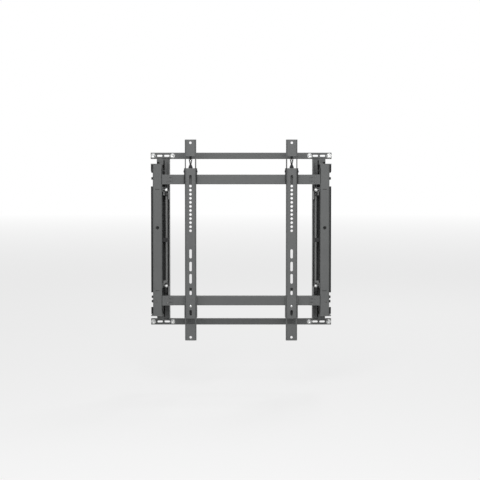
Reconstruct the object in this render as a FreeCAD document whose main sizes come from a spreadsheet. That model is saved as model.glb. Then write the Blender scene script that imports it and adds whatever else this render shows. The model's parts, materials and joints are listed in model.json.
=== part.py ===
import FreeCAD, Part
import math
import os
from types import SimpleNamespace

import Sketcher
from FreeCAD import Placement, Rotation, Vector

# Push-in pop-out wall mount for a portrait display, in millimetres.
# X is to the viewer's right, Z is up, and the wall is the plane Y = 0 with the room on its -Y side.
# The origin is the centre of the pattern of wall screws. The mount is drawn pushed in.

SIZES = {
    # Wall rails, shallow channels that are open towards the wall
    "wall_rail_length": 570,
    "wall_rail_z": 262,
    "wall_rail_height": 20,
    "wall_rail_depth": 8,
    "wall_gauge": 2.5,
    "wall_slot_length": 17,
    "wall_slot_height": 6,
    "wall_slot_outer_inset": 28.5,
    "wall_slot_inner_inset": 51,
    "wall_bend": 2.4,
    # Wall screws
    "screw_outer_inset": 8,
    "screw_inner_inset": 69,
    "screw_shank": 8,
    "screw_shoulder": 9,
    "screw_head": 13,
    "screw_head_height": 4.5,
    "dome_share": 0.6,
    "screw_recess": 5,
    "screw_recess_depth": 2.8,
    "screw_reach": 45,
    # Wall uprights, angles with the flange on the inboard side
    "upright_inset": 61,
    "upright_web": 24,
    "upright_front": 46,
    "upright_half_height": 250,
    "upright_tab": 7.5,
    # Corner brackets and stop buffers
    "corner_reach": 38,
    "corner_inner_inset": 42,
    "corner_outer_inset": 21,
    "corner_drop": 18,
    "buffer_inset": 25.5,
    "buffer_z": 238.5,
    "buffer_diameter": 8,
    # Scissor arms
    "arm_length": 380,
    "arm_width": 24,
    "arm_thickness": 3.5,
    "outer_arm_inset": 56,
    "inner_arm_inset": 45.5,
    "arm_window": 10,
    "arm_window_margin": 33.6,
    "pivot_rise": 3,
    "wall_pivot_y": 22,
    "display_pivot_y": 60,
    "open_angle": 48,
    "pin_diameter": 10,
    "pin_head": 14,
    "pin_head_height": 3,
    "pin_collar": 2,
    "roller_diameter": 12,
    "roller_pin": 8,
    "roller_head": 16,
    # Running clearances
    "fit": 0.25,
    "slide": 0.3,
    # Front uprights, hat-shaped channels that are open towards the wall
    "front_inset": 41,
    "front_width": 29,
    "front_lip": 8.5,
    "front_y": 98,
    "front_back_y": 48,
    "front_half_height": 236,
    "front_gauge": 2.5,
    "end_plate_inset": 2.5,
    "front_bend": 4,
    "lip_notch_low": 166,
    "lip_notch_high": 212,
    "face_screw_z": 38.5,
    "face_screw_head": 10,
    "face_slot_z": 157,
    "face_slot_width": 13,
    "face_slot_height": 1.6,
    # Hang rails and their end brackets
    "hang_rail_z": 187.5,
    "hang_rail_height": 30,
    "hang_rail_y": 97,
    "hang_rail_depth": 10,
    "hang_rail_gauge": 2.5,
    "hang_rail_end_gap": 4,
    "bracket_reach": 31,
    "bracket_tail_z": 222,
    "bracket_tail_y": 77.5,
    "bracket_slot_step": 5.5,
    "bracket_slot_width": 7,
    "bracket_slot_height": 2.6,
    "bracket_slot_spread": 5.4,
    # Side bolts, which clamp the end brackets to the front uprights
    "bolt_y": 81,
    "bolt_z_mid": 190.7,
    "bolt_z_high": 212,
    "bolt_z_low": 177,
    "bolt_shank": 5,
    "bolt_head": 8.5,
    "bolt_head_height": 5,
    "nut_height": 4,
    "rail_screw_step": 15,
    "rail_screw_spread": 8,
    "small_screw_head": 7,
    "small_screw_height": 2,
    "small_screw_shank": 4,
    "small_screw_step": 20,
    # Latches
    "latch_step": 12,
    "latch_top_z": 155,
    "latch_bottom_z": 143,
    "latch_plate_y": 75.9,
    "latch_gauge": 2,
    "latch_plate_low": 5,
    "latch_plate_high": 9,
    "latch_wing": 16,
    "hook_y": 83.3,
    "hook_thickness": 3,
    "hook_hub": 13,
    "hook_boss": 10.4,
    "hook_shoulder": 5.2,
    "hook_notch": 3.9,
    "hook_neck": 11.9,
    "hook_tip_x": 1.2,
    "hook_point": 1.5,
    "hook_nose": 1,
    "hook_nose_x": 6,
    "hook_chin": 0.8,
    "hook_throat": 2,
    "hook_tail": 17,
    "hook_tail_width": 6,
    "hook_reach": 8,
    "hook_tooth": 3.5,
    "fork_reach": 7,
    "fork_depth": 8.6,
    "fork_wall": 1.6,
    "latch_travel": 3,
    "latch_bolt_shank": 6,
    "latch_bolt_head": 9,
    "latch_bolt_head_height": 3,
    "rod_step": 0.5,
    "rod_end_gap": 10,
    "rod_y": 79.5,
    "rod_diameter": 6.5,
    "rod_pin": 3.5,
    "dog_thickness": 2.5,
    "dog_width": 4.4,
    "guide_width": 9,
    "guide_half_height": 6,
    "strike_top_gap": 3,
    "strike_height": 26,
    "strike_y": 90,
    "strike_rim": 5,
    # Adapters
    "adapter_x": 155.8,
    "adapter_width": 35,
    "adapter_y": 112,
    "adapter_depth": 14,
    "adapter_gauge": 2.5,
    "adapter_bend": 6,
    "adapter_half_height": 310,
    "end_hole_margin": 10,
    "hole_diameter": 8.4,
    "hole_pitch": 12.5,
    "hole_count": 12,
    "hole_first_z": 29.5,
    "window_margin": 1,
    "top_window_low": 222,
    "top_window_high": 259,
    "bottom_window_low": 260.2,
    "bottom_window_high": 241.8,
    "rail_slot_low": 172,
    "rail_slot_high": 201.5,
    "slot_a_high": 27.3,
    "slot_a_low": 56.2,
    "slot_b_high": 65.8,
    "slot_b_low": 96,
    "slot_c_high": 103.5,
    "slot_c_low": 134,
    "catch_screw_z": 150.5,
    "long_hole_z": 162.8,
    "long_hole_half": 3,
    "long_hole_width": 6.7,
    "lower_hole_z": 203.9,
    "slot_d_high": 215,
    "slot_d_low": 233,
    # Hook blocks, which hang on the upper hang rail
    "block_gauge": 2,
    "block_low": 174,
    "block_high": 222,
    "block_front_y": 110,
    "block_back_y": 84.2,
    "block_tongue": 12,
    "block_tongue_y": 107.5,
    "block_bridge": 4,
    "hook_leg_low": 184,
    "lift_travel": 5,
    "guide_rivet": 5,
    "rivet_tail": 1,
    "guide_rivet_y": 104,
    "guide_rivet_z": 212,
    # Height knobs and screws
    "knob_y": 101.5,
    "knob_flange": 13,
    "knob_waist": 7,
    "knob_throat": 9,
    "knob_flange_height": 4,
    "knob_half_height": 11,
    "height_screw": 8,
    "height_collar": 11,
    "height_collar_height": 3.5,
    "nut_low": 260,
    "nut_block_height": 8,
    "nut_relief": 3.5,
    "nut_corner": 3.5,
    "height_screw_top": 276,
    "ring_height": 3,
    # Bottom catches, which grip the lower hang rail
    "carrier_high": 171,
    "carrier_low": 240,
    "carrier_step": 209,
    "carrier_back_y": 82,
    "catch_width": 26,
    "catch_gauge": 2.4,
    "catch_overlap": 8,
    "catch_lift": 1,
    "catch_travel": 10,
    "catch_pin": 5,
    "catch_pin_head": 9,
    "catch_pin_head_height": 2,
    "catch_pin_x": 7.5,
    "catch_pin_z": 231,
    "catch_tab_width": 16,
    "catch_tab_reach": 14,
    "button_head": 8,
    "button_height": 3,
}

doc = FreeCAD.newDocument("TvWallMount")
sheet = doc.addObject("Spreadsheet::Sheet", "Sizes")
for row, (alias, number) in enumerate(SIZES.items(), start=1):
    sheet.set(f"A{row}", alias)
    sheet.set(f"B{row}", str(number))
    sheet.setAlias(f"B{row}", alias)
doc.recompute()


# A size is a formula on the sheet's cells together with its present number
class Size:
    def __init__(self, text, number):
        self.text = text
        self.number = number

    def __add__(self, other):
        other = as_size(other)
        return Size(f"({self.text} + {other.text})", self.number + other.number)

    def __sub__(self, other):
        other = as_size(other)
        return Size(f"({self.text} - {other.text})", self.number - other.number)

    def __mul__(self, other):
        other = as_size(other)
        return Size(f"({self.text} * {other.text})", self.number * other.number)

    def __truediv__(self, other):
        other = as_size(other)
        return Size(f"({self.text} / {other.text})", self.number / other.number)

    def __radd__(self, other):
        return as_size(other) + self

    def __rsub__(self, other):
        return as_size(other) - self

    def __rmul__(self, other):
        return as_size(other) * self

    def __neg__(self):
        return as_size(-1) * self


def as_size(value):
    return value if isinstance(value, Size) else Size(f"({value})", float(value))


def cosine(angle):
    return Size(f"cos({angle.text})", math.cos(math.radians(angle.number)))


def arcsine(ratio):
    return Size(f"asin({ratio.text})", math.degrees(math.asin(ratio.number)))


def arctangent(ratio):
    return Size(f"atan({ratio.text})", math.degrees(math.atan(ratio.number)))


S = SimpleNamespace(**{name: Size(f"Sizes.{name}", float(number)) for name, number in SIZES.items()})

SIDES = {"left": -1, "right": 1}
ENDS = {"top": 1, "bottom": -1}
ALONG_X = Rotation(Vector(0, 1, 0), 90)
TO_FRONT = Rotation(Vector(1, 0, 0), 90)
UPWARDS = Rotation()
nodes = {}


# General helpers

def bind(thing, path, size):
    thing.setExpression(path, as_size(size).text)


def node(thing, name):
    thing.Label = name
    nodes[name] = thing
    return thing


def move(thing, x=0, y=0, z=0, rotation=UPWARDS):
    here = [as_size(v) for v in (x, y, z)]
    thing.Placement = Placement(Vector(*[v.number for v in here]), rotation)
    for axis, size in zip("xyz", here):
        bind(thing, f"Placement.Base.{axis}", size)
    return thing


def tilt(thing, axis, angle):
    thing.Placement = Placement(thing.Placement.Base, Rotation(axis, angle.number))
    bind(thing, "Placement.Rotation.Angle", angle)


def box(x, y, z):
    thing = doc.addObject("Part::Box", "Block")
    for prop, (low, high) in zip(("Length", "Width", "Height"), (x, y, z)):
        bind(thing, prop, as_size(high) - low)
    return move(thing, x[0], y[0], z[0])


# A box on one side of the mount, between two distances from the centre plane
def side_box(side, x, y, z):
    near, far = (x[0], x[1]) if side > 0 else (-as_size(x[1]), -as_size(x[0]))
    return box((near, far), y, z)


def cylinder(diameter, length, x, y, z, rotation=UPWARDS):
    thing = doc.addObject("Part::Cylinder", "Round")
    bind(thing, "Radius", as_size(diameter) / 2)
    bind(thing, "Height", length)
    return move(thing, x, y, z, rotation)


def cone(low_diameter, high_diameter, height, x, y, z):
    thing = doc.addObject("Part::Cone", "Taper")
    bind(thing, "Radius1", as_size(low_diameter) / 2)
    bind(thing, "Radius2", as_size(high_diameter) / 2)
    bind(thing, "Height", height)
    return move(thing, x, y, z)


# A round bar across the mount on one side, between two distances from the centre plane
def side_bar(side, diameter, x, y, z):
    start = x[0] if side > 0 else -as_size(x[1])
    return cylinder(diameter, as_size(x[1]) - x[0], start, y, z, ALONG_X)


# A round bar along Y, from a back place to a front place, both given as distances from the wall
def front_bar(diameter, x, back, front, z):
    return cylinder(diameter, as_size(front) - back, x, -as_size(back), z, TO_FRONT)


def fuse(*things):
    whole = doc.addObject("Part::MultiFuse", "Joined")
    whole.Shapes = list(things)
    return whole


def cut(base, *tools):
    for tool in tools:
        left = doc.addObject("Part::Cut", "Cutout")
        left.Base = base
        left.Tool = tool
        base = left
    return base


def group(name, things):
    whole = doc.addObject("Part::Compound", name)
    whole.Links = list(things)
    return node(whole, name)


# Sketch and feature helpers for the pressed sheet pieces

def new_body(name):
    body = doc.addObject("PartDesign::Body", name)
    return node(body, name)


def sketch_on(body, role, offset=0):
    sketch = body.newObject("Sketcher::SketchObject", "Outline")
    plane = next(f for f in body.Origin.OriginFeatures if f.Role == role)
    sketch.AttachmentSupport = [(plane, "")]
    sketch.MapMode = "FlatFace"
    bind(sketch, "AttachmentOffset.Base.z", offset)
    return sketch


def pin_point(sketch, geometry, vertex, place):
    for kind, size in zip(("DistanceX", "DistanceY"), place):
        index = sketch.addConstraint(Sketcher.Constraint(kind, -1, 1, geometry, vertex, size.number))
        sketch.setExpression(f"Constraints[{index}]", size.text)


def pin_radius(sketch, geometry, size):
    index = sketch.addConstraint(Sketcher.Constraint("Radius", geometry, size.number))
    sketch.setExpression(f"Constraints[{index}]", size.text)


def polygon(sketch, points):
    points = [(as_size(u), as_size(v)) for u, v in points]
    first = sketch.GeometryCount
    count = len(points)
    spots = [Vector(u.number, v.number, 0) for u, v in points]
    for i in range(count):
        sketch.addGeometry(Part.LineSegment(spots[i], spots[(i + 1) % count]), False)
    for i in range(count):
        sketch.addConstraint(Sketcher.Constraint("Coincident", first + i, 2, first + (i + 1) % count, 1))
        pin_point(sketch, first + i, 1, points[i])


def rectangle(sketch, u, v):
    polygon(sketch, [(u[0], v[0]), (u[1], v[0]), (u[1], v[1]), (u[0], v[1])])


def circle(sketch, u, v, diameter):
    place = (as_size(u), as_size(v))
    radius = as_size(diameter) / 2
    spot = Vector(place[0].number, place[1].number, 0)
    index = sketch.addGeometry(Part.Circle(spot, Vector(0, 0, 1), radius.number), False)
    pin_point(sketch, index, 3, place)
    pin_radius(sketch, index, radius)


# A slot with round ends, upright or level, between the centres of its two ends
def slot(sketch, start, end, width):
    start = [as_size(v) for v in start]
    end = [as_size(v) for v in end]
    radius = as_size(width) / 2
    a = Vector(start[0].number, start[1].number, 0)
    b = Vector(end[0].number, end[1].number, 0)
    along = (b - a).normalize()
    across = Vector(-along.y, along.x, 0) * radius.number
    turn = math.atan2(along.y, along.x)
    axis = Vector(0, 0, 1)
    near = Part.ArcOfCircle(Part.Circle(a, axis, radius.number), turn + math.pi / 2, turn + 1.5 * math.pi)
    far = Part.ArcOfCircle(Part.Circle(b, axis, radius.number), turn - math.pi / 2, turn + math.pi / 2)
    first = sketch.addGeometry(near, False)
    sketch.addGeometry(far, False)
    sketch.addGeometry(Part.LineSegment(a - across, b - across), False)
    sketch.addGeometry(Part.LineSegment(b + across, a + across), False)
    for one, one_end, two, two_end in ((0, 1, 3, 2), (0, 2, 2, 1), (2, 2, 1, 1), (1, 2, 3, 1)):
        sketch.addConstraint(Sketcher.Constraint("Tangent", first + one, one_end, first + two, two_end))
    sketch.addConstraint(Sketcher.Constraint("Equal", first, first + 1))
    pin_radius(sketch, first, radius)
    pin_point(sketch, first, 3, start)
    pin_point(sketch, first + 1, 3, end)


def pad(body, sketch, length, side="One side", backwards=False):
    feature = body.newObject("PartDesign::Pad", "Pad")
    feature.Profile = sketch
    feature.SideType = side
    feature.Reversed = backwards
    bind(feature, "Length", length)
    doc.recompute()
    return feature


def pocket(body, sketch, length, side="One side"):
    before = body.Shape.Volume
    feature = body.newObject("PartDesign::Pocket", "Pocket")
    feature.Profile = sketch
    feature.SideType = side
    bind(feature, "Length", length)
    doc.recompute()
    if body.Shape.Volume >= before:
        raise RuntimeError(f"{body.Label}: {feature.Name} cuts nothing")
    return feature


# Rounds the long edges of a pressed section that run through the given corners of its outline
def round_bends(body, axis, corners, radius):
    doc.recompute()
    others = [a for a in "xyz" if a != axis]
    names = []
    for index, edge in enumerate(body.Shape.Edges, start=1):
        ends = [v.Point for v in edge.Vertexes]
        if len(ends) != 2:
            continue
        for corner in corners:
            gaps = [abs(getattr(p, a) - as_size(c).number) for p in ends for a, c in zip(others, corner)]
            if max(gaps) < 0.001:
                names.append(f"Edge{index}")
    section = body.Tip
    feature = body.newObject("PartDesign::Fillet", "Bend")
    feature.Base = (section, names)
    bind(feature, "Radius", radius)
    doc.recompute()
    return feature


# Derived places that several pieces share

half_width = S.wall_rail_length / 2
screw_outer_x = half_width - S.screw_outer_inset
screw_inner_x = half_width - S.screw_inner_inset
wall_slot_outer_x = half_width - S.wall_slot_outer_inset
wall_slot_inner_x = half_width - S.wall_slot_inner_inset
upright_x = half_width - S.upright_inset
corner_inner_x = half_width - S.corner_inner_inset
corner_outer_x = half_width - S.corner_outer_inset
buffer_x = half_width - S.buffer_inset
outer_arm_x = half_width - S.outer_arm_inset
inner_arm_x = half_width - S.inner_arm_inset
front_x = half_width - S.front_inset
bracket_inner_x = front_x - S.bracket_reach
bracket_slot_x = bracket_inner_x + S.bracket_slot_step
rail_screw_x = bracket_inner_x + S.rail_screw_step
small_screw_x = front_x + S.small_screw_step
latch_x = front_x - S.latch_step
rod_x = latch_x - S.rod_step
pivot_drop = S.arm_length / 2 - S.pivot_rise
folded_angle = arcsine((S.display_pivot_y - S.wall_pivot_y) / S.arm_length)
folded_top = S.arm_length * cosine(folded_angle) - pivot_drop
open_top = S.arm_length * cosine(S.open_angle) - pivot_drop
roller_slot = S.roller_diameter + S.slide * 2
upright_web_y = S.wall_rail_depth - S.wall_gauge
upright_back_y = upright_web_y - S.wall_gauge
wall_rail_inner_z = S.wall_rail_z - S.wall_rail_height / 2
pin_bore = S.pin_diameter + S.fit * 2
latch_rest_angle = arctangent(S.latch_travel / 2 / S.fork_reach)
hang_low = S.hang_rail_z - S.hang_rail_height / 2
hang_high = S.hang_rail_z + S.hang_rail_height / 2
hang_back_y = S.hang_rail_y - S.hang_rail_depth


# Wall side

def wall_rail(end_name, end):
    body = new_body(f"wall_rail_{end_name}")
    middle = end * S.wall_rail_z
    half = S.wall_rail_height / 2
    depth = S.wall_rail_depth
    web_back = depth - S.wall_gauge
    inner_half = half - S.wall_gauge
    profile = sketch_on(body, "YZ_Plane")
    outline = [(0, -half), (-depth, -half), (-depth, half), (0, half)]
    outline += [(0, inner_half), (-web_back, inner_half), (-web_back, -inner_half), (0, -inner_half)]
    polygon(profile, [(y, middle + z) for y, z in outline])
    pad(body, profile, S.wall_rail_length, "Symmetric")
    round_bends(body, "x", [(-depth, middle + half), (-depth, middle - half)], S.wall_bend)
    face = sketch_on(body, "XZ_Plane", depth)
    for side in SIDES.values():
        for x in (screw_outer_x, screw_inner_x):
            circle(face, side * x, middle, S.screw_shoulder)
        for x in (wall_slot_outer_x, wall_slot_inner_x):
            reach = (S.wall_slot_length - S.wall_slot_height) / 2
            slot(face, (side * x - reach, middle), (side * x + reach, middle), S.wall_slot_height)
    pocket(body, face, S.wall_gauge)
    lip = sketch_on(body, "XZ_Plane", web_back)
    for side in SIDES.values():
        near = side * upright_x
        far = side * (upright_x + S.upright_web)
        edges = (middle - end * half, middle - end * inner_half)
        rectangle(lip, (near, far), edges if end > 0 else edges[::-1])
    pocket(body, lip, web_back)


def wall_upright(side_name, side):
    body = new_body(f"wall_upright_{side_name}")
    gauge = S.wall_gauge
    inner = side * upright_x
    flange = side * (upright_x + gauge)
    outer = side * (upright_x + S.upright_web)
    profile = sketch_on(body, "XY_Plane")
    polygon(profile, [(inner, -upright_back_y), (outer, -upright_back_y), (outer, -upright_web_y),
                      (flange, -upright_web_y), (flange, -S.upright_front), (inner, -S.upright_front)])
    pad(body, profile, S.upright_half_height * 2, "Symmetric")
    tabs = sketch_on(body, "XZ_Plane", upright_back_y)
    reach = S.upright_half_height + S.upright_tab
    rectangle(tabs, (inner, outer), (-reach, reach))
    pad(body, tabs, gauge)
    middle = side * (upright_x + gauge / 2)
    strikes = sketch_on(body, "YZ_Plane", middle)
    windows = sketch_on(body, "YZ_Plane", middle)
    for pivot in (S.latch_top_z, -S.latch_bottom_z):
        high = pivot - S.strike_top_gap
        low = high - S.strike_height
        rectangle(strikes, (-S.strike_y, -S.upright_front + gauge), (low, high))
        window_back = S.hook_y - 2 * gauge
        window = (-S.strike_y + gauge, -window_back)
        rectangle(windows, window, (low + S.strike_rim, high - S.strike_rim))
    pad(body, strikes, gauge, "Symmetric")
    y = -S.wall_pivot_y
    slot(windows, (y, open_top - S.slide), (y, folded_top + S.slide), roller_slot)
    circle(windows, y, -pivot_drop, S.pin_diameter)
    pocket(body, windows, gauge * 2, "Symmetric")


def corner_brackets():
    brackets = []
    buffers = []
    edge = upright_x + S.upright_web
    front = S.corner_reach
    for side in SIDES.values():
        for end in ENDS.values():
            high = wall_rail_inner_z
            low = high - S.wall_gauge
            levels = (low, high) if end > 0 else (-high, -low)
            drop = high - S.corner_drop
            drops = (drop, high) if end > 0 else (-high, -drop)
            shelf = side_box(side, (edge, corner_outer_x), (-front, -upright_back_y), levels)
            plate_x = (corner_inner_x, corner_outer_x)
            plate = side_box(side, plate_x, (-front, S.wall_gauge - front), drops)
            brackets.append(fuse(shelf, plate))
            tip = S.front_back_y - S.slide
            buffers.append(front_bar(S.buffer_diameter, side * buffer_x, front, tip, end * S.buffer_z))
    group("corner_brackets", brackets)
    group("stop_buffers", buffers)


# A screw whose head faces the room, with a hexagonal recess
def front_screw(x, seat, z, head, head_height, shank, reach, recess):
    body = front_bar(shank, x, seat - reach, seat, z)
    top = front_bar(head, x, seat, seat + head_height, z)
    rounded = doc.addObject("Part::Fillet", "Dome")
    rounded.Base = top
    doc.recompute()
    radius = (head_height * S.dome_share).number
    face_y = -(seat + head_height).number
    edges = enumerate(top.Shape.Edges, start=1)
    rim = next(index for index, edge in edges if abs(edge.BoundBox.Center.y - face_y) < 0.01)
    rounded.Edges = [(rim, radius, radius)]
    whole = fuse(body, rounded)
    if recess is None:
        return whole
    key = doc.addObject("Part::Prism", "Recess")
    key.Polygon = 6
    bind(key, "Circumradius", recess[0] / 2)
    bind(key, "Height", recess[1])
    move(key, x, -(seat + head_height - recess[1]), z, TO_FRONT)
    return cut(whole, key)


def wall_screws():
    screws = []
    recess = (S.screw_recess, S.screw_recess_depth)
    seat = S.wall_rail_depth
    reach = seat + S.screw_reach
    for end in ENDS.values():
        z = end * S.wall_rail_z
        for side in SIDES.values():
            for x in (screw_outer_x, screw_inner_x):
                screw = front_screw(side * x, seat, z, S.screw_head, S.screw_head_height, S.screw_shank,
                                    reach, recess)
                shoulder = front_bar(S.screw_shoulder, side * x, seat - S.wall_gauge, seat, z)
                screws.append(fuse(screw, shoulder))
    group("wall_screws", screws)


def wall_pivot_pins():
    pins = []
    y = -S.wall_pivot_y
    z = -pivot_drop
    flange = upright_x + S.wall_gauge
    arm_end = outer_arm_x + S.arm_thickness
    for side in SIDES.values():
        head = side_bar(side, S.pin_head, (upright_x - S.arm_thickness, upright_x), y, z)
        shank = side_bar(side, S.pin_diameter, (upright_x, arm_end + S.fit), y, z)
        spacer = side_bar(side, S.pin_head, (flange, outer_arm_x - S.fit), y, z)
        collar = side_bar(side, S.pin_head, (arm_end + S.fit, arm_end + S.fit + S.pin_collar), y, z)
        pins.append(fuse(head, shank, spacer, collar))
    group("wall_pivot_pins", pins)


# Scissor arms. An arm and what it carries are drawn upright about its lower pivot, then leaned into place.

def lean(thing, kind):
    outer = kind == "outer"
    pivot_y = S.wall_pivot_y if outer else S.display_pivot_y
    angle = folded_angle if outer else -folded_angle
    move(thing, 0, -pivot_y, -pivot_drop)
    tilt(thing, Vector(1, 0, 0), angle)
    return thing


def scissor_arm(kind, side_name, side):
    near = outer_arm_x if kind == "outer" else inner_arm_x
    body = new_body(f"{kind}_arm_{side_name}")
    middle = side * (near + S.arm_thickness / 2)
    profile = sketch_on(body, "YZ_Plane", middle)
    slot(profile, (0, 0), (0, S.arm_length), S.arm_width)
    pad(body, profile, S.arm_thickness, "Symmetric")
    holes = sketch_on(body, "YZ_Plane", middle)
    circle(holes, 0, 0, pin_bore)
    circle(holes, 0, S.arm_length / 2, S.pin_diameter if kind == "outer" else pin_bore)
    circle(holes, 0, S.arm_length, S.roller_pin)
    clear = S.arm_window_margin
    for start in (0, S.arm_length / 2):
        slot(holes, (0, start + clear), (0, start + S.arm_length / 2 - clear), S.arm_window)
    pocket(body, holes, S.arm_thickness * 2, "Symmetric")
    lean(body, kind)


def centre_rivet(side_name, side):
    z = S.arm_length / 2
    head_x = (outer_arm_x - S.pin_collar, outer_arm_x)
    gap_x = (outer_arm_x + S.arm_thickness, inner_arm_x - S.fit)
    inner_end = inner_arm_x + S.arm_thickness
    head = side_bar(side, S.pin_head, head_x, 0, z)
    shank = side_bar(side, S.pin_diameter, (outer_arm_x, inner_end + S.fit), 0, z)
    spacer = side_bar(side, S.pin_head, gap_x, 0, z)
    rivet = node(fuse(head, shank, spacer), f"centre_rivet_{side_name}")
    lean(rivet, "outer")


# The roller of an outer arm runs in the front upright, and that of an inner arm in the wall upright
def arm_roller(kind, side_name, side):
    z = S.arm_length
    if kind == "outer":
        arm = (outer_arm_x, outer_arm_x + S.arm_thickness)
        wheel = (arm[1], front_x + S.front_gauge + S.slide)
        head = (wheel[1], wheel[1] + S.front_gauge)
    else:
        arm = (inner_arm_x, inner_arm_x + S.arm_thickness)
        wheel = (upright_x - S.slide, arm[0])
        head = (wheel[0] - S.wall_gauge, wheel[0])
    parts = [side_bar(side, S.roller_pin, arm, 0, z), side_bar(side, S.roller_diameter, wheel, 0, z)]
    parts.append(side_bar(side, S.roller_head, head, 0, z))
    roller = node(fuse(*parts), f"{kind}_arm_roller_{side_name}")
    lean(roller, kind)


# Display side

def front_upright(side_name, side):
    body = new_body(f"front_upright_{side_name}")
    gauge = S.front_gauge
    inner = side * front_x
    inner_in = side * (front_x + gauge)
    outer = side * (front_x + S.front_width)
    outer_in = side * (front_x + S.front_width - gauge)
    lip = side * (front_x + S.front_width + S.front_lip)
    front = -S.front_y
    front_in = -(S.front_y - gauge)
    back = -S.front_back_y
    back_in = -(S.front_back_y + gauge)
    profile = sketch_on(body, "XY_Plane")
    outline = [(inner, back), (inner, front), (outer, front), (outer, back_in), (lip, back_in)]
    outline += [(lip, back), (outer_in, back), (outer_in, front_in), (inner_in, front_in), (inner_in, back)]
    polygon(profile, outline)
    pad(body, profile, (S.front_half_height - gauge) * 2, "Symmetric")
    round_bends(body, "z", [(inner, front), (outer, front)], S.front_bend)
    round_bends(body, "z", [(inner_in, front_in), (outer_in, front_in)], S.front_bend - gauge)
    notches = sketch_on(body, "XZ_Plane", S.front_back_y + gauge)
    rectangle(notches, (outer, lip), (S.lip_notch_low, S.lip_notch_high))
    rectangle(notches, (outer, lip), (-S.lip_notch_high, -S.lip_notch_low))
    pocket(body, notches, gauge)
    slots = sketch_on(body, "YZ_Plane", side * (front_x + gauge / 2))
    y = -S.display_pivot_y
    slot(slots, (y, open_top - S.slide), (y, folded_top + S.slide), roller_slot)
    circle(slots, y, -pivot_drop, S.pin_diameter)
    pocket(body, slots, gauge * 2, "Symmetric")
    bolts = sketch_on(body, "YZ_Plane", side * (front_x + S.front_width / 2))
    for z in (S.bolt_z_mid, S.bolt_z_high, -S.bolt_z_mid, -S.bolt_z_low):
        circle(bolts, -S.bolt_y, z, S.bolt_shank)
    pocket(body, bolts, S.front_width * 2, "Symmetric")
    face = sketch_on(body, "XZ_Plane", S.front_y)
    middle = side * (front_x + S.front_width / 2)
    circle(face, middle, S.face_screw_z, S.bolt_shank)
    circle(face, side * small_screw_x, -S.bolt_z_mid, S.small_screw_shank)
    half = S.face_slot_width / 2 - S.face_slot_height / 2
    for z in (S.face_slot_z, -S.face_slot_z):
        slot(face, (middle - half, z), (middle + half, z), S.face_slot_height)
    pocket(body, face, gauge)


def end_plates():
    plates = []
    for side in SIDES.values():
        for end in ENDS.values():
            high = S.front_half_height
            low = high - S.front_gauge
            levels = (low, high) if end > 0 else (-high, -low)
            width = (front_x, front_x + S.front_width + S.front_lip - S.end_plate_inset)
            plates.append(side_box(side, width, (-S.front_y, -S.front_back_y), levels))
    group("end_plates", plates)


def face_screws():
    screws = []
    for side in SIDES.values():
        middle = side * (front_x + S.front_width / 2)
        screws.append(front_screw(middle, S.front_y, S.face_screw_z, S.face_screw_head,
                                  S.front_gauge, S.bolt_shank, S.front_gauge * 5, None))
    group("face_screws", screws)


def hang_rail(end_name, end):
    body = new_body(f"hang_rail_{end_name}")
    middle = end * S.hang_rail_z
    half = S.hang_rail_height / 2
    gauge = S.hang_rail_gauge
    front = -S.hang_rail_y
    back = -hang_back_y
    profile = sketch_on(body, "YZ_Plane")
    outline = [(back, -half), (front, -half), (front, half), (back, half)]
    outline += [(back, half - gauge), (front + gauge, half - gauge)]
    outline += [(front + gauge, gauge - half), (back, gauge - half)]
    polygon(profile, [(y, middle + z) for y, z in outline])
    pad(body, profile, (front_x - S.hang_rail_end_gap) * 2, "Symmetric")
    round_bends(body, "x", [(front, middle + half), (front, middle - half)], gauge)
    face = sketch_on(body, "XZ_Plane", S.hang_rail_y)
    for side in SIDES.values():
        for step in (-1, 1):
            circle(face, side * rail_screw_x, middle + step * S.rail_screw_spread, S.small_screw_shank)
    pocket(body, face, gauge)


def end_bracket(side, end):
    gauge = S.hang_rail_gauge
    front = S.hang_rail_y + gauge
    low = hang_low if end > 0 else -hang_high
    high = hang_high if end > 0 else -hang_low
    tail = (hang_low, S.bracket_tail_z) if end > 0 else (-S.bracket_tail_z, -hang_low)
    plate = side_box(side, (bracket_inner_x, front_x), (-front, -S.hang_rail_y), (low, high))
    wall = side_box(side, (front_x - gauge, front_x), (-front, -S.bracket_tail_y), tail)
    holes = []
    middle = end * S.hang_rail_z
    for step in (-1, 1):
        z = middle + step * S.bracket_slot_spread
        half = S.bracket_slot_height / 2
        reach = S.bracket_slot_width / 2
        width = (bracket_slot_x - reach, bracket_slot_x + reach)
        depth = (-front - gauge, -S.hang_rail_y + gauge)
        holes.append(side_box(side, width, depth, (z - half, z + half)))
        z = middle + step * S.rail_screw_spread
        back = S.hang_rail_y - gauge
        holes.append(front_bar(S.small_screw_shank, side * rail_screw_x, back, front + gauge, z))
    for z in bolt_heights(end):
        wall_x = (front_x - gauge * 2, front_x + gauge)
        holes.append(side_bar(side, S.bolt_shank, wall_x, -S.bolt_y, z))
    return cut(fuse(plate, wall), *holes)


def bolt_heights(end):
    return (S.bolt_z_mid, S.bolt_z_high) if end > 0 else (-S.bolt_z_mid, -S.bolt_z_low)


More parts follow.
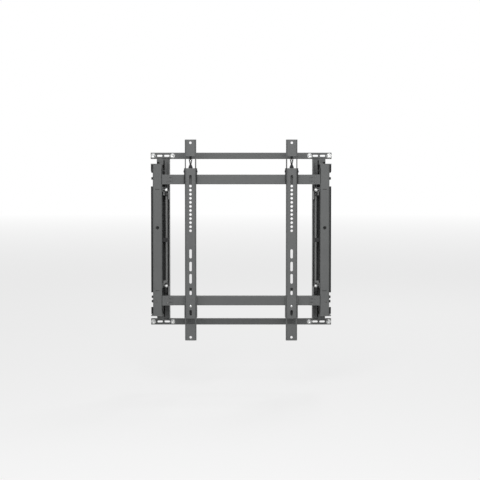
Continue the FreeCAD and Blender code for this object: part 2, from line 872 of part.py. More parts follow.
def end_brackets_and_bolts():
    brackets = []
    bolts = []
    screws = []
    gauge = S.hang_rail_gauge
    outer = front_x + S.front_width
    seat = S.hang_rail_y + gauge
    for side in SIDES.values():
        for end in ENDS.values():
            brackets.append(end_bracket(side, end))
            for z in bolt_heights(end):
                nut_x = front_x - gauge
                shank = side_bar(side, S.bolt_shank, (nut_x - S.nut_height, outer), -S.bolt_y, z)
                head = side_bar(side, S.bolt_head, (outer, outer + S.bolt_head_height), -S.bolt_y, z)
                nut = side_bar(side, S.bolt_head, (nut_x - S.nut_height, nut_x), -S.bolt_y, z)
                bolts.append(fuse(shank, head, nut))
            for step in (-1, 1):
                z = end * S.hang_rail_z + step * S.rail_screw_spread
                screws.append(front_screw(side * rail_screw_x, seat, z, S.small_screw_head,
                                          S.small_screw_height, S.small_screw_shank, gauge * 3, None))
        screws.append(front_screw(side * small_screw_x, S.front_y, -S.bolt_z_mid, S.small_screw_head,
                                  S.small_screw_height, S.small_screw_shank, gauge * 3, None))
    group("rail_end_brackets", brackets)
    group("side_bolts", bolts)
    group("front_screws", screws)


def display_pivot_pins():
    pins = []
    y = -S.display_pivot_y
    z = -pivot_drop
    wall_in = front_x + S.front_gauge
    arm_end = inner_arm_x + S.arm_thickness
    for side in SIDES.values():
        head = side_bar(side, S.pin_head, (wall_in, wall_in + S.pin_head_height), y, z)
        shank = side_bar(side, S.pin_diameter, (inner_arm_x - S.fit, wall_in), y, z)
        spacer = side_bar(side, S.pin_head, (arm_end + S.fit, front_x), y, z)
        collar = side_bar(side, S.pin_head, (inner_arm_x - S.fit - S.pin_collar, inner_arm_x - S.fit), y, z)
        pins.append(fuse(head, shank, spacer, collar))
    group("display_pivot_pins", pins)


# Latches. A rod on each side turns two hooks, which catch in the strikes of the wall uprights.

def latch_plates():
    plates = []
    bolts = []
    front = S.latch_plate_y + S.latch_wing
    for side in SIDES.values():
        for pivot in (S.latch_top_z, -S.latch_bottom_z):
            z = (pivot - S.latch_plate_low, pivot + S.latch_plate_high)
            plate_x = (latch_x - S.latch_plate_low, front_x)
            plate = side_box(side, plate_x, (-S.latch_plate_y, S.latch_gauge - S.latch_plate_y), z)
            wall = side_box(side, (front_x - S.latch_gauge, front_x), (-front, -S.latch_plate_y), z)
            x = side * latch_x
            back = S.latch_plate_y - S.latch_gauge
            hole = front_bar(S.latch_bolt_shank, x, back - S.slide, front, pivot)
            plates.append(cut(fuse(plate, wall), hole))
            seat = S.hook_y + S.hook_thickness + S.slide
            shank = front_bar(S.latch_bolt_shank, x, back, seat, pivot)
            head = front_bar(S.latch_bolt_head, x, seat, seat + S.latch_bolt_head_height, pivot)
            sleeve = front_bar(S.latch_bolt_head, x, S.latch_plate_y, S.hook_y - S.slide, pivot)
            bolts.append(fuse(shank, head, sleeve))
    group("latch_plates", plates)
    group("latch_pivot_bolts", bolts)


def latch_hook(end_name, pivot, side_name, side):
    body = new_body(f"latch_hook_{end_name}_{side_name}")
    hub = S.hook_hub / 2
    half_tail = S.hook_tail_width / 2
    fork = S.rod_pin / 2 + S.slide
    fork_out = fork + S.fork_wall
    tooth_top = S.hook_tooth - S.hook_tail
    plate = sketch_on(body, "XZ_Plane")
    outline = [(-half_tail, S.hook_shoulder), (half_tail, S.hook_shoulder), (S.fork_depth, fork_out)]
    outline += [(S.fork_depth, fork), (S.hook_notch, fork), (S.hook_notch, -fork), (S.fork_depth, -fork)]
    outline += [(S.fork_depth, -fork_out), (half_tail, -hub), (half_tail, -S.hook_neck)]
    outline += [(-S.hook_tip_x, -S.hook_tail - S.hook_point), (-S.hook_nose_x, -S.hook_tail - S.hook_nose)]
    outline += [(-S.hook_reach, -S.hook_tail + S.hook_chin), (-S.hook_reach, tooth_top)]
    outline += [(-half_tail - S.hook_point, tooth_top), (-half_tail, tooth_top + S.hook_throat)]
    outline = [(side * u, v) for u, v in outline]
    polygon(plate, outline)
    pad(body, plate, S.hook_thickness)
    boss = sketch_on(body, "XZ_Plane")
    circle(boss, 0, 0, S.hook_boss)
    pad(body, boss, S.hook_thickness)
    bore = sketch_on(body, "XZ_Plane", S.hook_thickness)
    circle(bore, 0, 0, S.latch_bolt_shank + S.fit * 2)
    pocket(body, bore, S.hook_thickness)
    move(body, side * latch_x, -S.hook_y, pivot)
    tilt(body, Vector(0, 1, 0), -side * latch_rest_angle)


def latch_rod(side_name, side):
    top = S.latch_top_z - S.rod_end_gap
    bottom = S.rod_end_gap - S.latch_bottom_z
    shaft = cylinder(S.rod_diameter, top - bottom, side * rod_x, -S.rod_y, bottom)
    parts = [shaft]
    dog_y = (-(S.rod_y + S.rod_diameter / 2), S.dog_thickness - (S.rod_y + S.rod_diameter / 2))
    pin_x = latch_x + S.fork_reach
    arm_x = (pin_x - S.dog_width / 2, pin_x + S.dog_width / 2)
    top_pin_z = S.latch_top_z + S.latch_travel / 2
    bottom_pin_z = S.latch_travel / 2 - S.latch_bottom_z
    top_foot = (top - S.rod_diameter, top)
    bottom_foot = (bottom, bottom + S.rod_diameter)
    top_reach = (top_foot[0], top_pin_z + S.dog_width / 2)
    bottom_reach = (bottom_pin_z - S.dog_width / 2, bottom_foot[1])
    for pin_z, foot, reach in ((top_pin_z, top_foot, top_reach), (bottom_pin_z, bottom_foot, bottom_reach)):
        parts.append(side_box(side, (rod_x, arm_x[1]), dog_y, foot))
        parts.append(side_box(side, arm_x, dog_y, reach))
        pin_front = S.hook_y + S.hook_thickness + S.slide
        pin_back = S.rod_y + S.rod_diameter / 2 - S.dog_thickness
        parts.append(front_bar(S.rod_pin, side * pin_x, pin_back, pin_front, pin_z))
    node(fuse(*parts), f"latch_rod_{side_name}")


def rod_guides():
    guides = []
    half = S.guide_width / 2
    for side in SIDES.values():
        height = (-S.guide_half_height, S.guide_half_height)
        block = side_box(side, (rod_x - half, front_x), (-S.rod_y - half, -S.rod_y + half), height)
        bore = cylinder(S.rod_diameter + S.slide * 2, S.guide_half_height * 4, side * rod_x,
                        -S.rod_y, -S.guide_half_height * 2)
        guides.append(cut(block, bore))
    group("rod_guides", guides)


# Adapters

def adapter(side_name, side):
    body = new_body(f"adapter_{side_name}")
    x = side * S.adapter_x
    half = S.adapter_width / 2
    gauge = S.adapter_gauge
    front = -S.adapter_y
    back = S.adapter_depth - S.adapter_y
    profile = sketch_on(body, "XY_Plane")
    outline = [(-half, back), (-half, front), (half, front), (half, back), (half - gauge, back)]
    outline += [(half - gauge, front + gauge), (gauge - half, front + gauge), (gauge - half, back)]
    polygon(profile, [(x + u, y) for u, y in outline])
    pad(body, profile, S.adapter_half_height * 2, "Symmetric")
    round_bends(body, "z", [(x - half, front), (x + half, front)], S.adapter_bend)
    inner = half - gauge
    round_bends(body, "z", [(x - inner, front + gauge), (x + inner, front + gauge)], S.adapter_bend - gauge)
    face = sketch_on(body, "XZ_Plane", S.adapter_y)
    window = inner - S.window_margin
    rectangle(face, (x - window, x + window), (S.top_window_low, S.top_window_high))
    rectangle(face, (x - window, x + window), (-S.bottom_window_low, -S.bottom_window_high))
    bore = S.hole_diameter
    round_end = bore / 2
    end_hole_z = S.adapter_half_height - S.end_hole_margin
    for z in (end_hole_z, -end_hole_z, -S.lower_hole_z):
        circle(face, x, z, bore)
    circle(face, x, -S.catch_screw_z, S.catch_pin)
    spans = [(S.rail_slot_low, S.rail_slot_high), (-S.slot_a_low, -S.slot_a_high)]
    spans += [(-S.slot_b_low, -S.slot_b_high), (-S.slot_c_low, -S.slot_c_high)]
    spans += [(-S.slot_d_low, -S.slot_d_high)]
    for low, high in spans:
        slot(face, (x, low + round_end), (x, high - round_end), bore)
    long_low = -S.long_hole_z - S.long_hole_half
    slot(face, (x, long_low), (x, long_low + S.long_hole_half * 2), S.long_hole_width)
    for index in range(int(SIZES["hole_count"])):
        circle(face, x, S.hole_first_z + index * S.hole_pitch, bore)
    pocket(body, face, S.adapter_bend)
    flanges = sketch_on(body, "YZ_Plane", x)
    circle(flanges, -S.guide_rivet_y, S.guide_rivet_z, S.guide_rivet)
    pocket(body, flanges, S.adapter_width * 2, "Symmetric")


def hook_block(side_name, side):
    x = side * S.adapter_x
    outer = S.adapter_width / 2 + S.slide + S.block_gauge
    inner = S.adapter_width / 2 + S.slide
    rail_front = S.hang_rail_y + S.slide
    rail_back = hang_back_y - S.slide
    front = S.block_front_y
    back = S.block_back_y
    parts = []
    for u in (-outer, inner):
        width = (x + u, x + u + S.block_gauge)
        parts.append(box(width, (-front, -rail_front), (S.block_low, S.block_high)))
        parts.append(box(width, (-front, -back), (hang_high + S.slide, S.block_high)))
        parts.append(box(width, (-rail_back, -back), (S.hook_leg_low, S.block_high)))
    bridge_low = S.block_high - S.block_bridge
    back_of_adapter = S.adapter_y - S.adapter_depth - S.slide
    parts.append(box((x - outer, x + outer), (-back_of_adapter, -back), (bridge_low, S.block_high)))
    tongue = S.block_tongue
    bridge = (bridge_low, S.block_high)
    parts.append(box((x - tongue, x + tongue), (-S.block_tongue_y, -back), bridge))
    parts.append(box((x - outer, x + outer), (-rail_back, -back), (S.hook_leg_low, S.block_high)))
    bore = S.height_screw + S.slide * 2
    holes = [cylinder(bore, S.block_bridge * 3, x, -S.knob_y, bridge_low - S.block_bridge)]
    for u in (-outer, inner):
        start = x + u - S.block_gauge
        low = S.guide_rivet_z - S.lift_travel - S.slide
        high = S.guide_rivet_z + S.lift_travel + S.slide
        rivet = S.guide_rivet + S.slide * 2
        width = (start, start + S.block_gauge * 3)
        holes.append(box(width, (-S.guide_rivet_y - rivet / 2, -S.guide_rivet_y + rivet / 2), (low, high)))
        for z in (low, high):
            holes.append(cylinder(rivet, S.block_gauge * 3, start, -S.guide_rivet_y, z, ALONG_X))
    node(cut(fuse(*parts), fuse(*holes)), f"hook_block_{side_name}")


def height_knob(side_name, side):
    x = side * S.adapter_x
    y = -S.knob_y
    low = S.block_high + S.slide
    waist = low + S.knob_flange_height + S.knob_half_height
    top = waist + S.knob_half_height
    parts = [cylinder(S.knob_flange, S.knob_flange_height, x, y, low)]
    flare = low + S.knob_flange_height
    parts.append(cone(S.knob_flange, S.knob_throat, S.knob_half_height, x, y, flare))
    parts.append(cone(S.knob_throat, S.knob_flange, S.knob_half_height, x, y, waist))
    hole = cylinder(S.knob_waist, S.knob_half_height * 4, x, y, low - S.slide)
    node(cut(fuse(*parts), hole), f"height_knob_{side_name}")
    bottom = S.block_high - S.block_bridge - S.slide
    screw = [cylinder(S.height_screw, low - bottom + S.ring_height, x, y, bottom - S.ring_height)]
    screw.append(cylinder(S.knob_waist, top - low, x, y, low))
    screw.append(cylinder(S.height_collar, S.height_collar_height, x, y, top))
    screw.append(cylinder(S.knob_waist, S.height_screw_top - top, x, y, top))
    screw.append(cylinder(S.height_collar, S.ring_height, x, y, bottom - S.ring_height))
    node(fuse(*screw), f"height_screw_{side_name}")


def lift_nut(side_name, side):
    x = side * S.adapter_x
    inner = S.adapter_width / 2 - S.adapter_gauge
    front = S.adapter_y - S.adapter_gauge
    back = S.adapter_y - S.adapter_depth
    narrow = inner - S.nut_corner
    height = (S.nut_low, S.nut_low + S.nut_block_height)
    block = box((x - inner, x + inner), (S.nut_relief - front, -back), height)
    face = box((x - narrow, x + narrow), (-front, -back), height)
    bore = cylinder(S.knob_waist + S.slide * 2, S.nut_block_height * 2, x, -S.knob_y, S.nut_low - S.slide)
    node(cut(fuse(block, face), bore), f"lift_nut_{side_name}")
    rivets = []
    half = S.adapter_width / 2
    for step in (-1, 1):
        reach = S.slide + S.block_gauge
        tail = S.adapter_gauge + S.rivet_tail
        start = x + half - tail if step > 0 else x - half - reach
        length = reach + tail
        y = -S.guide_rivet_y
        rivets.append(cylinder(S.guide_rivet, length, start, y, S.guide_rivet_z, ALONG_X))
    group(f"guide_rivets_{side_name}", rivets)


def catch_carrier(side_name, side):
    x = side * S.adapter_x
    inner = S.adapter_width / 2
    outer = inner + S.block_gauge
    front = S.block_front_y
    back = S.carrier_back_y
    step = (-S.carrier_low, -S.carrier_step)
    parts = []
    for u in (-outer, inner):
        width = (x + u, x + u + S.block_gauge)
        parts.append(box(width, (-front, -(S.hang_rail_y + S.slide)), (-S.carrier_low, -S.carrier_high)))
        parts.append(box(width, (-front, -back), step))
    parts.append(box((x - outer, x + outer), (-back - S.block_gauge, -back), step))
    holes = []
    pins = []
    plate_back = S.carrier_back_y + S.block_gauge + S.slide
    plate_front = plate_back + S.catch_gauge
    for u in (-1, 1):
        place = x + u * S.catch_pin_x
        seat = plate_front + S.slide
        head_top = seat + S.catch_pin_head_height
        holes.append(front_bar(S.catch_pin, place, back - S.slide, back + S.block_gauge * 2, -S.catch_pin_z))
        shank = front_bar(S.catch_pin, place, back, seat, -S.catch_pin_z)
        head = front_bar(S.catch_pin_head, place, seat, head_top, -S.catch_pin_z)
        pins.append(fuse(shank, head))
    node(cut(fuse(*parts), *holes), f"catch_carrier_{side_name}")
    group(f"catch_pins_{side_name}", pins)


def bottom_catch(side_name, side):
    x = side * S.adapter_x
    half = S.catch_width / 2
    back = S.carrier_back_y + S.block_gauge + S.slide
    front = back + S.catch_gauge
    top = -hang_high + S.catch_overlap
    low = S.catch_lift - S.carrier_low
    plate = box((x - half, x + half), (-front, -back), (low, top))
    half_tab = S.catch_tab_width / 2
    tab = box((x - half_tab, x + half_tab), (-front - S.catch_tab_reach, -back), (low - S.catch_gauge, low))
    tools = []
    bore = S.catch_pin + S.slide * 2
    for u in (-1, 1):
        place = x + u * S.catch_pin_x
        high = -S.catch_pin_z + S.catch_travel
        width = (place - bore / 2, place + bore / 2)
        tools.append(box(width, (-front - S.slide, S.slide - back), (-S.catch_pin_z, high)))
        for z in (-S.catch_pin_z, high):
            tools.append(front_bar(bore, place, back - S.slide, front + S.slide, z))
    node(cut(fuse(plate, tab), fuse(*tools)), f"bottom_catch_{side_name}")
    button = front_screw(x, S.adapter_y, -S.catch_screw_z, S.button_head, S.button_height,
                         S.catch_pin, S.adapter_gauge + S.button_height, None)
    node(button, f"catch_screw_{side_name}")


for end_name, end in ENDS.items():
    wall_rail(end_name, end)
    hang_rail(end_name, end)
corner_brackets()
wall_screws()
wall_pivot_pins()
end_plates()
face_screws()
end_brackets_and_bolts()
display_pivot_pins()
latch_plates()
rod_guides()
for side_name, side in SIDES.items():
    wall_upright(side_name, side)
    front_upright(side_name, side)
    for kind in ("outer", "inner"):
        scissor_arm(kind, side_name, side)
        arm_roller(kind, side_name, side)
    centre_rivet(side_name, side)
    latch_rod(side_name, side)
    for end_name, pivot in (("top", S.latch_top_z), ("bottom", -S.latch_bottom_z)):
        latch_hook(end_name, pivot, side_name, side)
    adapter(side_name, side)
    hook_block(side_name, side)
    height_knob(side_name, side)
    lift_nut(side_name, side)
    catch_carrier(side_name, side)
    bottom_catch(side_name, side)
doc.recompute()

for thing in doc.Objects:
    if "Invalid" in thing.State or "Error" in thing.State:
        raise RuntimeError(f"{thing.Label} failed: {thing.State}")
for name, thing in nodes.items():
    if thing.Shape.isNull() or not thing.Shape.isValid():
        raise RuntimeError(f"{name} has no valid shape")

os.makedirs("parts", exist_ok=True)
for name, thing in nodes.items():
    thing.Shape.exportStep(f"parts/{name}.step")
    print(name, len(thing.Shape.Solids), round(thing.Shape.Volume))
print(len(nodes), "nodes")
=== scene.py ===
import json
import math

import bmesh
import bpy
from mathutils import Matrix, Vector


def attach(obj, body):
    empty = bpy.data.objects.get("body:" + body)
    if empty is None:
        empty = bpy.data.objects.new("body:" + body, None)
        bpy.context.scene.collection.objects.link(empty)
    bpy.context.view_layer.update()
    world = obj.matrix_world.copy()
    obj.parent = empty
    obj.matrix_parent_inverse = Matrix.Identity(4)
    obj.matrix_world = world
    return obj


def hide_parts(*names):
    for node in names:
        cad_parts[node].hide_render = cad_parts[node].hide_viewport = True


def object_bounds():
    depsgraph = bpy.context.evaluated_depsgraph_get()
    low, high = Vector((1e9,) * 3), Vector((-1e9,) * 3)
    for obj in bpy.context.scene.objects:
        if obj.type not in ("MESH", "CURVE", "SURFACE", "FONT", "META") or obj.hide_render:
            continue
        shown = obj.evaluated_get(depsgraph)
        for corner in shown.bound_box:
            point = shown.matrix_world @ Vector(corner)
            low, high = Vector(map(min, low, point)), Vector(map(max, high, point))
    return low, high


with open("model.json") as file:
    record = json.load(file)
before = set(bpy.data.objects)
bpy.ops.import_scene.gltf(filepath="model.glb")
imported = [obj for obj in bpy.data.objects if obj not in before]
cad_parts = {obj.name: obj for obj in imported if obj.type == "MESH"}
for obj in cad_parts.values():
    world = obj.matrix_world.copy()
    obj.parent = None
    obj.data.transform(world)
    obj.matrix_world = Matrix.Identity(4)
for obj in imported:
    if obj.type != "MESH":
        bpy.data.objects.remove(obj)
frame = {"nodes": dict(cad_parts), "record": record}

# Push-in pop-out wall mount, in metres: x to the viewer's right, z up, mounting plane at y = 0
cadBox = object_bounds()
behaviour = frame["record"]["behaviour"]
bodyOf = {node: body for body, members in behaviour["bodies"].items() for node in members}
slotOf = {part["node"]: part["material_slot"] for part in frame["record"]["subparts"]}
sides = {"left": -1, "right": 1}
toFront = Matrix.Rotation(math.radians(90), 4, "X")  # local z turned to the front
toRight = Matrix.Rotation(math.radians(90), 4, "Y")
toLeft = Matrix.Rotation(math.radians(-90), 4, "Y")
anyTurn = 3.1  # widest chance turn of a screw on its own axis, in radians
slightTurn = 1.0
adapterX = 0.1558  # from the middle of the mount to that of an adapter
print("frame loaded:", len(frame["nodes"]), "nodes")


# helpers for the shader trees
def addNode(tree, kind, inputs=None, **settings):
    made = tree.nodes.new(kind)
    for key, value in settings.items():
        setattr(made, key, value)
    for key, value in (inputs or {}).items():
        if isinstance(value, bpy.types.NodeSocket):
            tree.links.new(value, made.inputs[key])
        else:
            made.inputs[key].default_value = value
    return made


def shaderGroup(name, inputs, outputs):
    tree = bpy.data.node_groups.new(name, "ShaderNodeTree")
    for socketName, kind, value in inputs:
        socket = tree.interface.new_socket(socketName, in_out="INPUT", socket_type="NodeSocket" + kind)
        if value is not None:
            socket.default_value = value
    for socketName, kind in outputs:
        tree.interface.new_socket(socketName, in_out="OUTPUT", socket_type="NodeSocket" + kind)
    return tree, tree.nodes.new("NodeGroupInput"), tree.nodes.new("NodeGroupOutput")


def useGroup(tree, group, inputs):
    return addNode(tree, "ShaderNodeGroup", inputs, node_tree=group).outputs


def mixColour(tree, factor, first, second):
    return addNode(tree, "ShaderNodeMix", {0: factor, 6: first, 7: second}, data_type="RGBA").outputs[2]


def spread(tree, value, low, high, outLow, outHigh):
    inputs = {"Value": value, "From Min": low, "From Max": high, "To Min": outLow, "To Max": outHigh}
    return addNode(tree, "ShaderNodeMapRange", inputs).outputs["Result"]


def calc(tree, operation, first, second):
    return addNode(tree, "ShaderNodeMath", {0: first, 1: second}, operation=operation).outputs[0]


def noise(tree, place, scale, detail, roughness=0.5):
    inputs = {"Vector": place, "Scale": scale, "Detail": detail, "Roughness": roughness}
    return addNode(tree, "ShaderNodeTexNoise", inputs).outputs["Fac"]


# effects that several materials share
def coatGrainGroup():  # patches of shade, fine speckle and the orange peel of a baked coat
    tree, entry, leave = shaderGroup(
        "coatGrain",
        [("Vector", "Vector", None), ("Grain", "Float", 1500.0), ("Patches", "Float", 12.0)],
        [("Patch", "Float"), ("Speckle", "Float"), ("Height", "Float")])
    place = entry.outputs["Vector"]
    grain = entry.outputs["Grain"]
    patch = noise(tree, place, entry.outputs["Patches"], 4.0)
    peel = addNode(tree, "ShaderNodeTexVoronoi", {"Vector": place, "Scale": grain}, feature="SMOOTH_F1")
    fine = noise(tree, place, grain, 3.0)
    height = calc(tree, "ADD", peel.outputs["Distance"], fine)
    tree.links.new(patch, leave.inputs["Patch"])
    tree.links.new(fine, leave.inputs["Speckle"])
    tree.links.new(height, leave.inputs["Height"])
    return tree


def edgeWearGroup():  # where a rounded edge is rubbed, broken up by noise
    tree, entry, leave = shaderGroup(
        "edgeWear",
        [("Vector", "Vector", None), ("Edge", "Float", 0.0), ("Scale", "Float", 60.0),
         ("Amount", "Float", 0.5)],
        [("Mask", "Float")])
    rub = noise(tree, entry.outputs["Vector"], entry.outputs["Scale"], 6.0, 0.65)
    broken = spread(tree, rub, 0.42, 0.62, 0.0, 1.0)
    held = calc(tree, "MULTIPLY", broken, entry.outputs["Edge"])
    tree.links.new(calc(tree, "MULTIPLY", held, entry.outputs["Amount"]), leave.inputs["Mask"])
    return tree


def dustGroup():  # a thin film on what faces up
    tree, entry, leave = shaderGroup(
        "settledDust",
        [("Vector", "Vector", None), ("Amount", "Float", 0.3)],
        [("Mask", "Float")])
    normal = addNode(tree, "ShaderNodeNewGeometry").outputs["Normal"]
    upward = addNode(tree, "ShaderNodeSeparateXYZ", {0: normal}).outputs["Z"]
    film = noise(tree, entry.outputs["Vector"], 45.0, 5.0)
    lying = spread(tree, upward, 0.5, 1.0, 0.0, 1.0)
    patchy = spread(tree, film, 0.3, 0.7, 0.3, 1.0)
    thin = calc(tree, "MULTIPLY", lying, patchy)
    tree.links.new(calc(tree, "MULTIPLY", thin, entry.outputs["Amount"]), leave.inputs["Mask"])
    return tree


def toolMarksGroup():  # stretched noise, as left by drawing, turning or brushing
    tree, entry, leave = shaderGroup(
        "toolMarks",
        [("Vector", "Vector", None), ("Stretch", "Vector", (1.0, 1.0, 0.04)),
         ("Scale", "Float", 900.0)],
        [("Streak", "Float"), ("Cloud", "Float")])
    drawn = addNode(tree, "ShaderNodeVectorMath", {0: entry.outputs["Vector"], 1: entry.outputs["Stretch"]},
                    operation="MULTIPLY").outputs["Vector"]
    tree.links.new(noise(tree, drawn, entry.outputs["Scale"], 5.0), leave.inputs["Streak"])
    tree.links.new(noise(tree, entry.outputs["Vector"], 180.0, 3.0), leave.inputs["Cloud"])
    return tree


coatGrain = coatGrainGroup()
edgeWear = edgeWearGroup()
settledDust = dustGroup()
toolMarks = toolMarksGroup()


# the start of every material
def newMaterial(name):
    material = bpy.data.materials.new(name)
    material.use_nodes = True
    tree = material.node_tree
    tree.nodes.clear()
    leave = tree.nodes.new("ShaderNodeOutputMaterial")
    shader = tree.nodes.new("ShaderNodeBsdfPrincipled")
    tree.links.new(shader.outputs["BSDF"], leave.inputs["Surface"])
    place = tree.nodes.new("ShaderNodeTexCoord").outputs["Object"]
    return material, tree, shader, place


def rubbedEdges(tree, place, amount):
    edge = addNode(tree, "ShaderNodeAttribute", attribute_name="edge").outputs["Fac"]
    return useGroup(tree, edgeWear, {"Vector": place, "Edge": edge, "Amount": amount})["Mask"]


def roughen(tree, shader, height, strength, distance):
    bump = addNode(tree, "ShaderNodeBump", {"Strength": strength, "Distance": distance, "Height": height})
    tree.links.new(bump.outputs["Normal"], shader.inputs["Normal"])


def coated(name, shades, worn, rough, grain, wear, dust, peel, gloss=0.5):  # a baked coat on steel
    material, tree, shader, place = newMaterial(name)
    skin = useGroup(tree, coatGrain, {"Vector": place, "Grain": grain, "Patches": 11.0})
    rubbed = rubbedEdges(tree, place, wear)
    film = useGroup(tree, settledDust, {"Vector": place, "Amount": dust})["Mask"]
    patch = spread(tree, skin["Patch"], 0.35, 0.65, 0.0, 1.0)
    colour = mixColour(tree, patch, shades[0], shades[1])
    speck = spread(tree, skin["Speckle"], 0.56, 0.74, 0.0, 0.16)
    colour = mixColour(tree, speck, colour, worn)
    colour = mixColour(tree, film, colour, (0.42, 0.41, 0.39, 1.0))
    colour = mixColour(tree, rubbed, colour, worn)
    tree.links.new(colour, shader.inputs["Base Color"])
    shader.inputs["Specular IOR Level"].default_value = gloss
    dull = spread(tree, skin["Patch"], 0.3, 0.7, rough[0], rough[1])
    tree.links.new(calc(tree, "ADD", dull, calc(tree, "MULTIPLY", film, 0.3)), shader.inputs["Roughness"])
    roughen(tree, shader, skin["Height"], peel, 0.00008)
    return material


def plated(name, bright, dim, rough, stretch):  # bare or zinc plated steel
    material, tree, shader, place = newMaterial(name)
    marks = useGroup(tree, toolMarks, {"Vector": place, "Stretch": stretch})
    rubbed = rubbedEdges(tree, place, 0.6)
    colour = mixColour(tree, spread(tree, marks["Cloud"], 0.35, 0.65, 0.0, 1.0), dim, bright)
    colour = mixColour(tree, rubbed, colour, (0.78, 0.78, 0.76, 1.0))
    tree.links.new(colour, shader.inputs["Base Color"])
    shader.inputs["Metallic"].default_value = 1.0
    tree.links.new(spread(tree, marks["Streak"], 0.3, 0.7, rough[0], rough[1]), shader.inputs["Roughness"])
    roughen(tree, shader, marks["Streak"], 0.2, 0.00005)
    return material


def moulded(name, shades, rough, grain, peel, gloss):  # nylon or rubber
    material, tree, shader, place = newMaterial(name)
    skin = useGroup(tree, coatGrain, {"Vector": place, "Grain": grain, "Patches": 70.0})
    film = useGroup(tree, settledDust, {"Vector": place, "Amount": 0.2})["Mask"]
    colour = mixColour(tree, spread(tree, skin["Patch"], 0.35, 0.65, 0.0, 1.0), shades[0], shades[1])
    colour = mixColour(tree, film, colour, (0.25, 0.25, 0.24, 1.0))
    tree.links.new(colour, shader.inputs["Base Color"])
    shader.inputs["Specular IOR Level"].default_value = gloss
    tree.links.new(spread(tree, skin["Speckle"], 0.3, 0.7, rough[0], rough[1]), shader.inputs["Roughness"])
    roughen(tree, shader, skin["Height"], peel, 0.0001)
    return material


powderCoat = coated("powderCoat", ((0.108, 0.112, 0.112, 1.0), (0.127, 0.131, 0.130, 1.0)),
                    (0.34, 0.34, 0.33, 1.0), (0.42, 0.56), grain=2400.0, wear=0.5, dust=0.20, peel=0.28)
# a lighter copy of the powder coat: painted light on the adapters, which stand nearer the lamps
powderLitCopy = coated("powderLitCopy", ((0.114, 0.118, 0.118, 1.0), (0.135, 0.139, 0.138, 1.0)),
                    (0.36, 0.36, 0.35, 1.0), (0.42, 0.56), grain=2400.0, wear=0.5, dust=0.20, peel=0.28)
satinBlack = coated("satinBlack", ((0.011, 0.012, 0.012, 1.0), (0.017, 0.018, 0.018, 1.0)),
                    (0.20, 0.20, 0.19, 1.0), (0.40, 0.54), grain=2000.0, wear=0.5, dust=0.12, peel=0.18,
                    gloss=0.25)
rodSatin = coated("rodSatin", ((0.150, 0.153, 0.152, 1.0), (0.190, 0.193, 0.190, 1.0)),
                  (0.45, 0.45, 0.44, 1.0), (0.30, 0.44), grain=2200.0, wear=0.6, dust=0.15, peel=0.15)
zincPlate = plated("zincPlate", (0.62, 0.62, 0.60, 1.0), (0.47, 0.48, 0.49, 1.0), rough=(0.22, 0.40),
                   stretch=(1.0, 1.0, 0.3))
nylonBlack = moulded("nylonBlack", ((0.011, 0.011, 0.012, 1.0), (0.019, 0.019, 0.020, 1.0)),
                     rough=(0.38, 0.52), grain=1800.0, peel=0.3, gloss=0.3)
rubberBlack = moulded("rubberBlack", ((0.006, 0.006, 0.006, 1.0), (0.012, 0.012, 0.011, 1.0)),
                      rough=(0.72, 0.9), grain=900.0, peel=0.5, gloss=0.15)
finishes = {"powder": powderCoat, "arm_black": satinBlack, "zinc": zincPlate, "rubber": rubberBlack,
            "nylon": nylonBlack, "latch_steel": rodSatin}
print("materials ready:", len(finishes))


# how meshes are shaded, bevelled and merged
creaseAngle = math.radians(35.0)
bevelStyle = {"segments": 2, "profile": 0.6, "affect": "EDGES", "clamp_overlap": True}
softening = {"merge": 0.000002, "flat": math.radians(0.4), "corner": math.radians(38)}
plateCorner = math.radians(50)


def finishPiece(name, mesh, body, slotName, replaced=()):
    mesh.materials.clear()
    mesh.materials.append(finishes[slotName])
    mesh.polygons.foreach_set("use_smooth", [True] * len(mesh.polygons))
    mesh.polygons.foreach_set("material_index", [0] * len(mesh.polygons))
    mesh.set_sharp_from_angle(angle=creaseAngle)
    piece = bpy.data.objects.new(name, mesh)
    bpy.context.scene.collection.objects.link(piece)
    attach(piece, body)
    if replaced:
        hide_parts(*replaced)
    return piece


def standIn(name, node, meshes):  # meshes joined in place of one solid
    finishPiece(name, joined(name, meshes), bodyOf[node], slotOf[node], [node])


def meshFrom(shape, name):
    mesh = bpy.data.meshes.new(name)
    shape.to_mesh(mesh)
    shape.free()
    return mesh


def joined(name, meshes):
    shape = bmesh.new()
    for mesh in meshes:
        shape.from_mesh(mesh)
    return meshFrom(shape, name)


def moved(mesh, matrix):
    mesh.transform(matrix)
    return mesh


def sideName(name, side):
    return name + side.capitalize()


def facing(side):  # local z turned away from the middle of the mount
    return toRight if sides[side] > 0 else toLeft


ringShapes = {
    "round": lambda angle: 1.0,
    "hex": lambda angle: 1.0 / math.cos(angle % (math.pi / 3) - math.pi / 6),
    "ribbed": lambda angle: 1.0 + 0.07 * math.cos(12 * angle),
    "cross": lambda angle: 0.40 + 0.60 * abs(math.cos(2 * angle)) ** 4,
}


def turned(name, profile, steps=48):  # a closed solid round local z, whose rings are round unless named
    shape = bmesh.new()
    rings = []
    for radius, along, *kind in profile:
        if radius == 0:
            rings.append([shape.verts.new((0, 0, along))])
            continue
        ring = []
        outline = ringShapes[kind[0] if kind else "round"]
        for step in range(steps):
            angle = 2 * math.pi * step / steps
            reach = radius * outline(angle)
            ring.append(shape.verts.new((reach * math.cos(angle), reach * math.sin(angle), along)))
        rings.append(ring)
    for lower, upper in zip(rings, rings[1:]):
        for step in range(steps):
            after = (step + 1) % steps
            if len(lower) == 1:
                shape.faces.new((lower[0], upper[after], upper[step]))
            elif len(upper) == 1:
                shape.faces.new((lower[step], lower[after], upper[0]))
            else:
                shape.faces.new((lower[step], lower[after], upper[after], upper[step]))
    bmesh.ops.recalc_face_normals(shape, faces=shape.faces)
    return meshFrom(shape, name)


